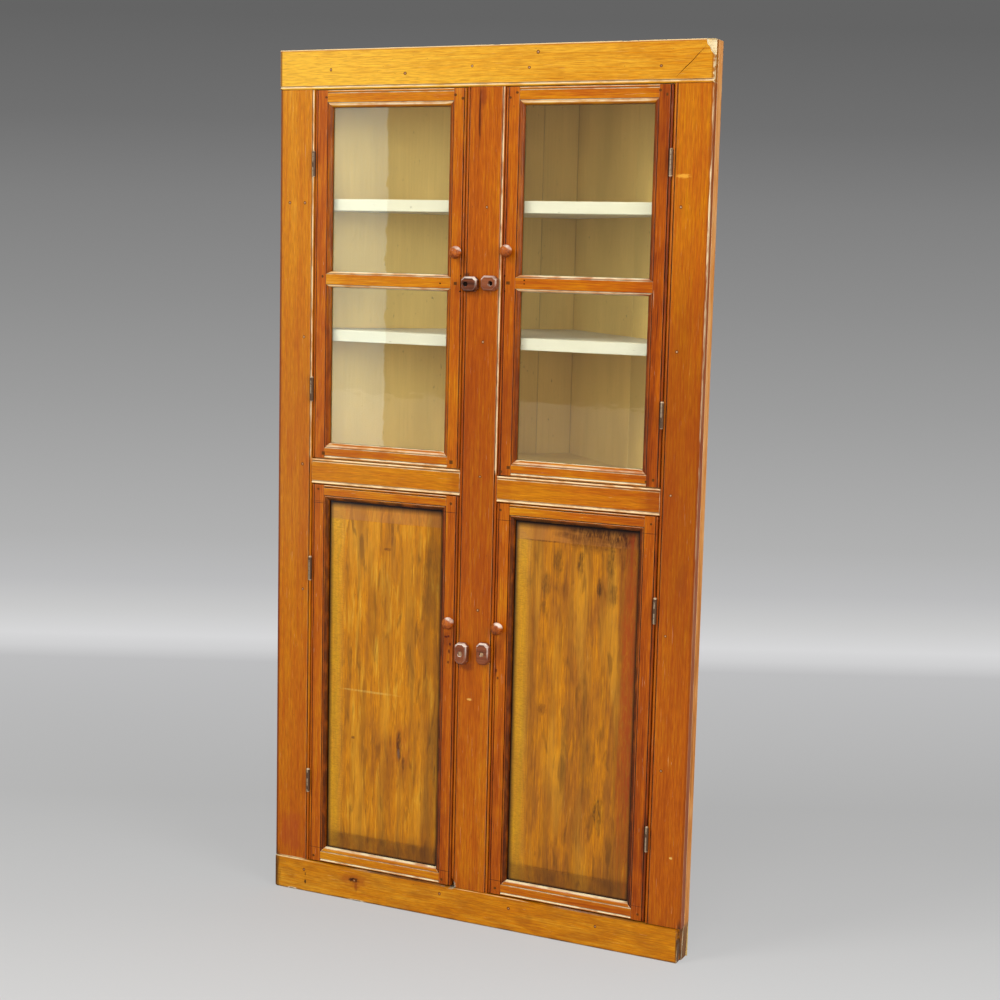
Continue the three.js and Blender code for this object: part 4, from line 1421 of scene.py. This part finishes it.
def driven_tree(name, finish, sides):
    """Geometry nodes that set a round head on each point, facing its own way."""
    tree = bpy.data.node_groups.new(name, "GeometryNodeTree")
    sockets = (("Places", "Geometry"), ("Radius", "Float"), ("Height", "Float"), ("Seed", "Int"))
    for label, kind in sockets:
        tree.interface.new_socket(label, in_out="INPUT", socket_type=f"NodeSocket{kind}")
    tree.interface.new_socket("Heads", in_out="OUTPUT", socket_type="NodeSocketGeometry")
    given = add(tree, "NodeGroupInput").outputs
    size = {"Vertices": sides, "Radius": given["Radius"], "Depth": given["Height"]}
    head = add(tree, "GeometryNodeMeshCylinder", size).outputs["Mesh"]
    level = {"Geometry": head, "Rotation": (0.0, 0.0, math.pi / sides)}
    named = {"Name": "facing"}
    facing = add(tree, "GeometryNodeInputNamedAttribute", named, data_type="FLOAT_VECTOR")
    way = {"Vector": facing.outputs[0]}
    turned_to = add(tree, "FunctionNodeAlignRotationToVector", way, axis="Z")
    spread = {"Min": (0.8, 0.8, 1.0), "Max": (1.15, 1.15, 1.0), "Seed": given["Seed"]}
    each = {
        "Points": given["Places"],
        "Instance": add(tree, "GeometryNodeTransform", level).outputs[0],
        "Rotation": turned_to.outputs[0],
        "Scale": add(tree, "FunctionNodeRandomValue", spread, data_type="FLOAT_VECTOR").outputs[0],
    }
    heads = add(tree, "GeometryNodeInstanceOnPoints", each).outputs[0]
    real = add(tree, "GeometryNodeRealizeInstances", {"Geometry": heads}).outputs[0]
    shown = {"Geometry": real, "Material": finish_of(finish)}
    coloured = add(tree, "GeometryNodeSetMaterial", shown).outputs[0]
    add(tree, "NodeGroupOutput", {"Heads": coloured})
    return tree


def driven(name, places, facing, tree, radius, height, seed, body):
    """Heads or pegs at [x, y, z] places in millimetres, as one plain mesh on a body."""
    mesh = bpy.data.meshes.new(name)
    mesh.from_pydata([Vector(place) * MM for place in places], [], [])
    way = mesh.attributes.new("facing", "FLOAT_VECTOR", "POINT")
    way.data.foreach_set("vector", facing * len(places))
    made = placed(name, mesh)
    nodes = made.modifiers.new("heads", "NODES")
    nodes.node_group = tree
    sockets = {item.name: item.identifier for item in tree.interface.items_tree}
    for label, value in (("Radius", radius), ("Height", height), ("Seed", seed)):
        nodes[sockets[label]] = value
    settle(made)
    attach(made, body)


# Nails through the face boards, as x and z in millimetres
FRIEZE_NAILS = ((-408, 2052), (-208, 2040), (-34, 2053), (110, 2047), (131, 2081), (427, 2044))
BASE_NAILS = ((-463, 57), (-316, 53), (-76, 61), (111, 57), (337, 53))
STILE_NAILS = (
    (-522, 1738), (-479.5, 1738), (-479, 1413), (-480, 1099), (-476, 784),
    (9.6, 1733), (7, 1421), (7, 1103), (9, 781),
    (483, 1738), (486, 1419), (484, 1095), (484, 771), (485.5, 454),
)
SIDE_NAILS = (1923, 1635, 1282, 605, 125)
# Empty screw holes in the doors, as x and z in millimetres
DOOR_HOLES = {
    "upper_left_door": ((-108, 1554), (-54.5, 1573), (-55.5, 1537)),
    "upper_right_door": ((59, 1576), (60, 1541), (109, 1567), (109, 1559)),
}


class CUPBOARD_OT_nails(CupboardOperator):
    """Drive the cut nails through the face boards and the side board"""

    bl_idname = "cupboard.nails"
    bl_label = "Nails and Holes"

    def execute(self, context):
        radius = context.scene.cupboard_sizes.nail_radius
        # The frieze and the base stand 4 mm proud of the stiles.
        every = [(x, -4, z) for x, z in FRIEZE_NAILS + BASE_NAILS]
        every += [(x, 0, z) for x, z in STILE_NAILS]
        heads = driven_tree("nail_heads", "nail", 7)
        stains = driven_tree("nail_stains", "stain", 12)
        holes = driven_tree("screw_holes", "hole", 9)
        driven("face_nails", every, FORWARD, heads, radius * 0.8, 0.5 * MM, 3, "carcass")
        driven("face_stains", every, FORWARD, stains, radius * 1.6, 0.2 * MM, 5, "carcass")
        side = [(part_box("right_return")[1].x / MM - 0.2, 36, z) for z in SIDE_NAILS]
        driven("side_nails", side, (1, 0, 0), heads, radius, 0.2 * MM, 7, "carcass")
        for door, places in DOOR_HOLES.items():
            empty = [(x, 0, z) for x, z in places]
            driven(f"{door}_holes", empty, FORWARD, holes, 2.1 * MM, 0.16 * MM, 9, door)
        return {"FINISHED"}


# Pegs in the doors' joints, as x and z in millimetres: slim ones, then wide ones
SLIM_PEGS = {
    "upper_left_door": ((-422, 1988), (-77, 1989), (-58, 1981), (-428, 1562)),
    "upper_right_door": (
        (80, 1992), (63, 1981), (426, 1992), (442, 1983), (62, 1119), (441, 1127), (424, 1122),
    ),
    "lower_left_door": ((-434, 1040), (-68, 1032), (-438, 98), (-73, 97)),
    "lower_right_door": ((63, 1028), (440, 1026), (72, 100), (441, 100.5)),
}
WIDE_PEGS = {
    "upper_left_door": ((-68, 1555), (-421, 1130), (-70, 1132)),
    "upper_right_door": ((68, 1560), (80, 1130)),
}


class CUPBOARD_OT_pegs(CupboardOperator):
    """Peg the doors' joints"""

    bl_idname = "cupboard.pegs"
    bl_label = "Pegs"

    def execute(self, context):
        radius = context.scene.cupboard_sizes.peg_radius
        kinds = (
            ("slim", SLIM_PEGS, driven_tree("slim_peg_ends", "peg", 9), radius),
            ("wide", WIDE_PEGS, driven_tree("wide_peg_ends", "peg", 4), radius * 1.7),
        )
        for seed, door in enumerate(DOORS):
            for kind, table, tree, size in kinds:
                places = [(x, 0, z) for x, z in table.get(door, ())]
                if places:
                    name = f"{door}_{kind}_pegs"
                    driven(name, places, FORWARD, tree, size, 0.24 * MM, seed, door)
        return {"FINISHED"}


# The camera, in metres and radians, from the lines of the face frame in the photograph
EYE = Vector((1.7909, -3.7801, 1.6284))
YAW, PITCH, ROLL = 0.4292, -0.1379, 0.0240
LENS_MM, SENSOR_MM = 64.057, 36
AHEAD = Vector((-math.sin(YAW), math.cos(YAW), 0))
SIDE = Vector((math.cos(YAW), math.sin(YAW), 0))
# How far ahead of the camera the floor's greys begin and the paper backdrop stands, in metres
GREYS_AWAY, BACKDROP_AWAY = 3.4, 6.9
# Painted greys that the paper backdrop glows to the camera, darker toward its top: height in metres
# and grey
BACKDROP_GREYS = (
    (0.0, "#bebebf"), (0.05, "#cfcfd0"), (0.1, "#d7d7d8"), (0.2, "#cacaca"), (0.32, "#bcbcbd"),
    (0.5, "#b1b1b1"), (0.72, "#a9a9a9"), (1.05, "#9c9c9c"), (1.45, "#8d8d8d"), (1.82, "#808080"),
    (2.12, "#707070"), (2.5, "#646464"),
)
# Painted greys that the floor glows to the camera, from near to far: share of the way and grey
FLOOR_GREYS = ((0.0, "#e4e4e4"), (0.24, "#cccccc"), (0.5, "#bcbcbc"), (1.0, "#bebebf"))


def studio_surface(name, corners):
    """A plain matt surface of the studio, and its node tree and shader."""
    finish, tree, shader = new_finish(name)
    feed(shader, {"Roughness": 0.9})
    mesh = bpy.data.meshes.new(name)
    mesh.from_pydata(corners, [], [(0, 1, 2, 3)])
    mesh.materials.append(finish)
    placed(name, mesh)
    return tree, shader


def show_grey(lit, grey, share):
    """Shows a share of plain grey to the camera and in reflections; other light meets the surface
    as it is."""
    tree = lit.id_data
    rays = add(tree, "ShaderNodeLightPath").outputs
    seen = total(rays["Is Camera Ray"], rays["Is Glossy Ray"], rays["Is Transmission Ray"])
    shown = add(tree, "ShaderNodeEmission", {"Color": grey})
    lay_over(share_of(seen, share), lit, shown.outputs[0])


def paper_backdrop(middle):
    """Grey paper behind the cupboard that glows its greys to the camera, as painted light darkening
    toward its top; it sends no light to the cupboard.
    """
    reach, foot, top = 6.0, -0.02, 5.0
    sides = ((-1, foot), (1, foot), (1, top), (-1, top))
    corners = [middle + SIDE * way * reach + Vector((0, 0, z)) for way, z in sides]
    tree, _ = studio_surface("studio_backdrop", corners)
    tall = BACKDROP_GREYS[-1][0]
    height = add(tree, "ShaderNodeMapRange", {"Value": axes(tree)["Z"], "From Max": tall})
    grey = ramp(height.outputs[0], [(z / tall, code) for z, code in BACKDROP_GREYS])
    # The paper can't be seen from behind, so that the cupboard's back can be looked at.
    clear = add(tree, "ShaderNodeBsdfTransparent")
    behind = add(tree, "ShaderNodeNewGeometry").outputs["Backfacing"]
    show_grey(clear.outputs[0], grey, total(share_of(behind, -1.0), 1.0))


def pale_floor(eye):
    """A pale floor that keeps the cupboard's shadow, and glows greys to the camera as painted light
    darkening toward the backdrop.
    """
    reach = 14.0
    sides = ((-1, -1), (1, -1), (1, 1), (-1, 1))
    tree, shader = studio_surface("studio_floor", [(x * reach, y * reach, 0) for x, y in sides])
    feed(shader, {"Base Color": linear("#cecece")})
    here = add(tree, "ShaderNodeTexCoord").outputs["Object"]
    away = add(tree, "ShaderNodeVectorMath", {0: here, 1: AHEAD}, operation="DOT_PRODUCT")
    start = eye.dot(AHEAD)
    span = {"From Min": start + GREYS_AWAY, "From Max": start + BACKDROP_AWAY}
    far = add(tree, "ShaderNodeMapRange", {"Value": away.outputs["Value"], **span}).outputs[0]
    share = add(tree, "ShaderNodeMapRange", {"Value": far, "From Min": 0.4, "To Min": 0.66})
    show_grey(shader.outputs[0], ramp(far, FLOOR_GREYS), share.outputs[0])


def soft_box(name, place, target, size, power, warmth):
    """A soft studio lamp that looks at a target."""
    lamp = bpy.data.lights.new(name, "AREA")
    lamp.shape = "RECTANGLE"
    lamp.size, lamp.size_y = size
    lamp.energy = power
    lamp.color = linear(warmth)[:3]
    made = placed(name, lamp)
    made.location = place
    made.rotation_euler = (Vector(target) - Vector(place)).to_track_quat("-Z", "Y").to_euler()


def set_camera():
    """The camera at the photograph's place and angle."""
    up = Vector((0, 0, 1))
    ahead = AHEAD * math.cos(PITCH) + up * math.sin(PITCH)
    above = up * math.cos(PITCH) - AHEAD * math.sin(PITCH)
    right = SIDE * math.cos(ROLL) + above * math.sin(ROLL)
    top = above * math.cos(ROLL) - SIDE * math.sin(ROLL)
    lens = bpy.data.cameras.new("camera")
    lens.sensor_width = SENSOR_MM
    lens.lens = LENS_MM
    lens.clip_end = 60
    camera = placed("camera", lens)
    turn = Matrix((right, top, -ahead)).transposed().to_4x4()
    camera.matrix_world = Matrix.Translation(EYE) @ turn
    bpy.context.scene.camera = camera


class CUPBOARD_OT_stage(CupboardOperator):
    """Set the floor, the backdrop, the lamps and the camera"""

    bl_idname = "cupboard.stage"
    bl_label = "Stage"

    def execute(self, context):
        eye = Vector((EYE.x, EYE.y, 0))
        pale_floor(eye)
        paper_backdrop(eye + AHEAD * BACKDROP_AWAY)
        soft_box("key_lamp", (-2.3, -3.3, 4.4), (0, 0, 1.1), (1.8, 1.8), 112, "#fffaf2")
        soft_box("front_lamp", (1.3, -4.2, 2.5), (0, 0, 1.2), (2.0, 2.0), 48, "#fffcf6")
        soft_box("card_lamp", (-3.41, -3.78, 1.6), (-3.41, 0, 1.6), (2.2, 3.0), 33, "#c0e4f6")
        soft_box("fill_lamp", (4.4, -2.0, 2.4), (0, 0, 1.0), (2.4, 2.4), 110, "#fffdf8")
        world = bpy.data.worlds.new("studio_air")
        world.use_nodes = True
        air = world.node_tree.nodes["Background"]
        feed(air, {"Color": linear("#f4f5f7"), "Strength": 0.3})
        context.scene.world = world
        context.scene.view_settings.view_transform = "Standard"
        set_camera()
        return {"FINISHED"}


OPERATORS = (
    CUPBOARD_OT_face_frame,
    CUPBOARD_OT_sides_and_back,
    CUPBOARD_OT_boards,
    CUPBOARD_OT_door_frames,
    CUPBOARD_OT_panels,
    CUPBOARD_OT_glass,
    CUPBOARD_OT_knobs,
    CUPBOARD_OT_turn_buttons,
    CUPBOARD_OT_hinges,
    CUPBOARD_OT_nails,
    CUPBOARD_OT_pegs,
    CUPBOARD_OT_stage,
)


class CUPBOARD_PT_pieces(bpy.types.Panel):
    """The cupboard's pieces, sizes and colours"""

    bl_idname = "CUPBOARD_PT_pieces"
    bl_label = "Corner Cupboard"
    bl_space_type = "VIEW_3D"
    bl_region_type = "UI"
    bl_category = "Cupboard"

    def draw(self, context):
        column = self.layout.column()
        for group in (context.scene.cupboard_sizes, context.scene.cupboard_colours):
            for name in group.bl_rna.properties.keys():
                if name in type(group).__annotations__:
                    column.prop(group, name)
        for operator in OPERATORS:
            column.operator(operator.bl_idname)


def register():
    for kind in (CupboardSizes, CupboardColours, *OPERATORS, CUPBOARD_PT_pieces):
        bpy.utils.register_class(kind)
    bpy.types.Scene.cupboard_sizes = bpy.props.PointerProperty(type=CupboardSizes)
    bpy.types.Scene.cupboard_colours = bpy.props.PointerProperty(type=CupboardColours)


def unregister():
    del bpy.types.Scene.cupboard_sizes
    del bpy.types.Scene.cupboard_colours
    for kind in (CUPBOARD_PT_pieces, *reversed(OPERATORS), CupboardColours, CupboardSizes):
        bpy.utils.unregister_class(kind)


def main():
    register()
    for operator in OPERATORS:
        group, name = operator.bl_idname.split(".")
        getattr(getattr(bpy.ops, group), name)()


if __name__ == "__main__":
    main()
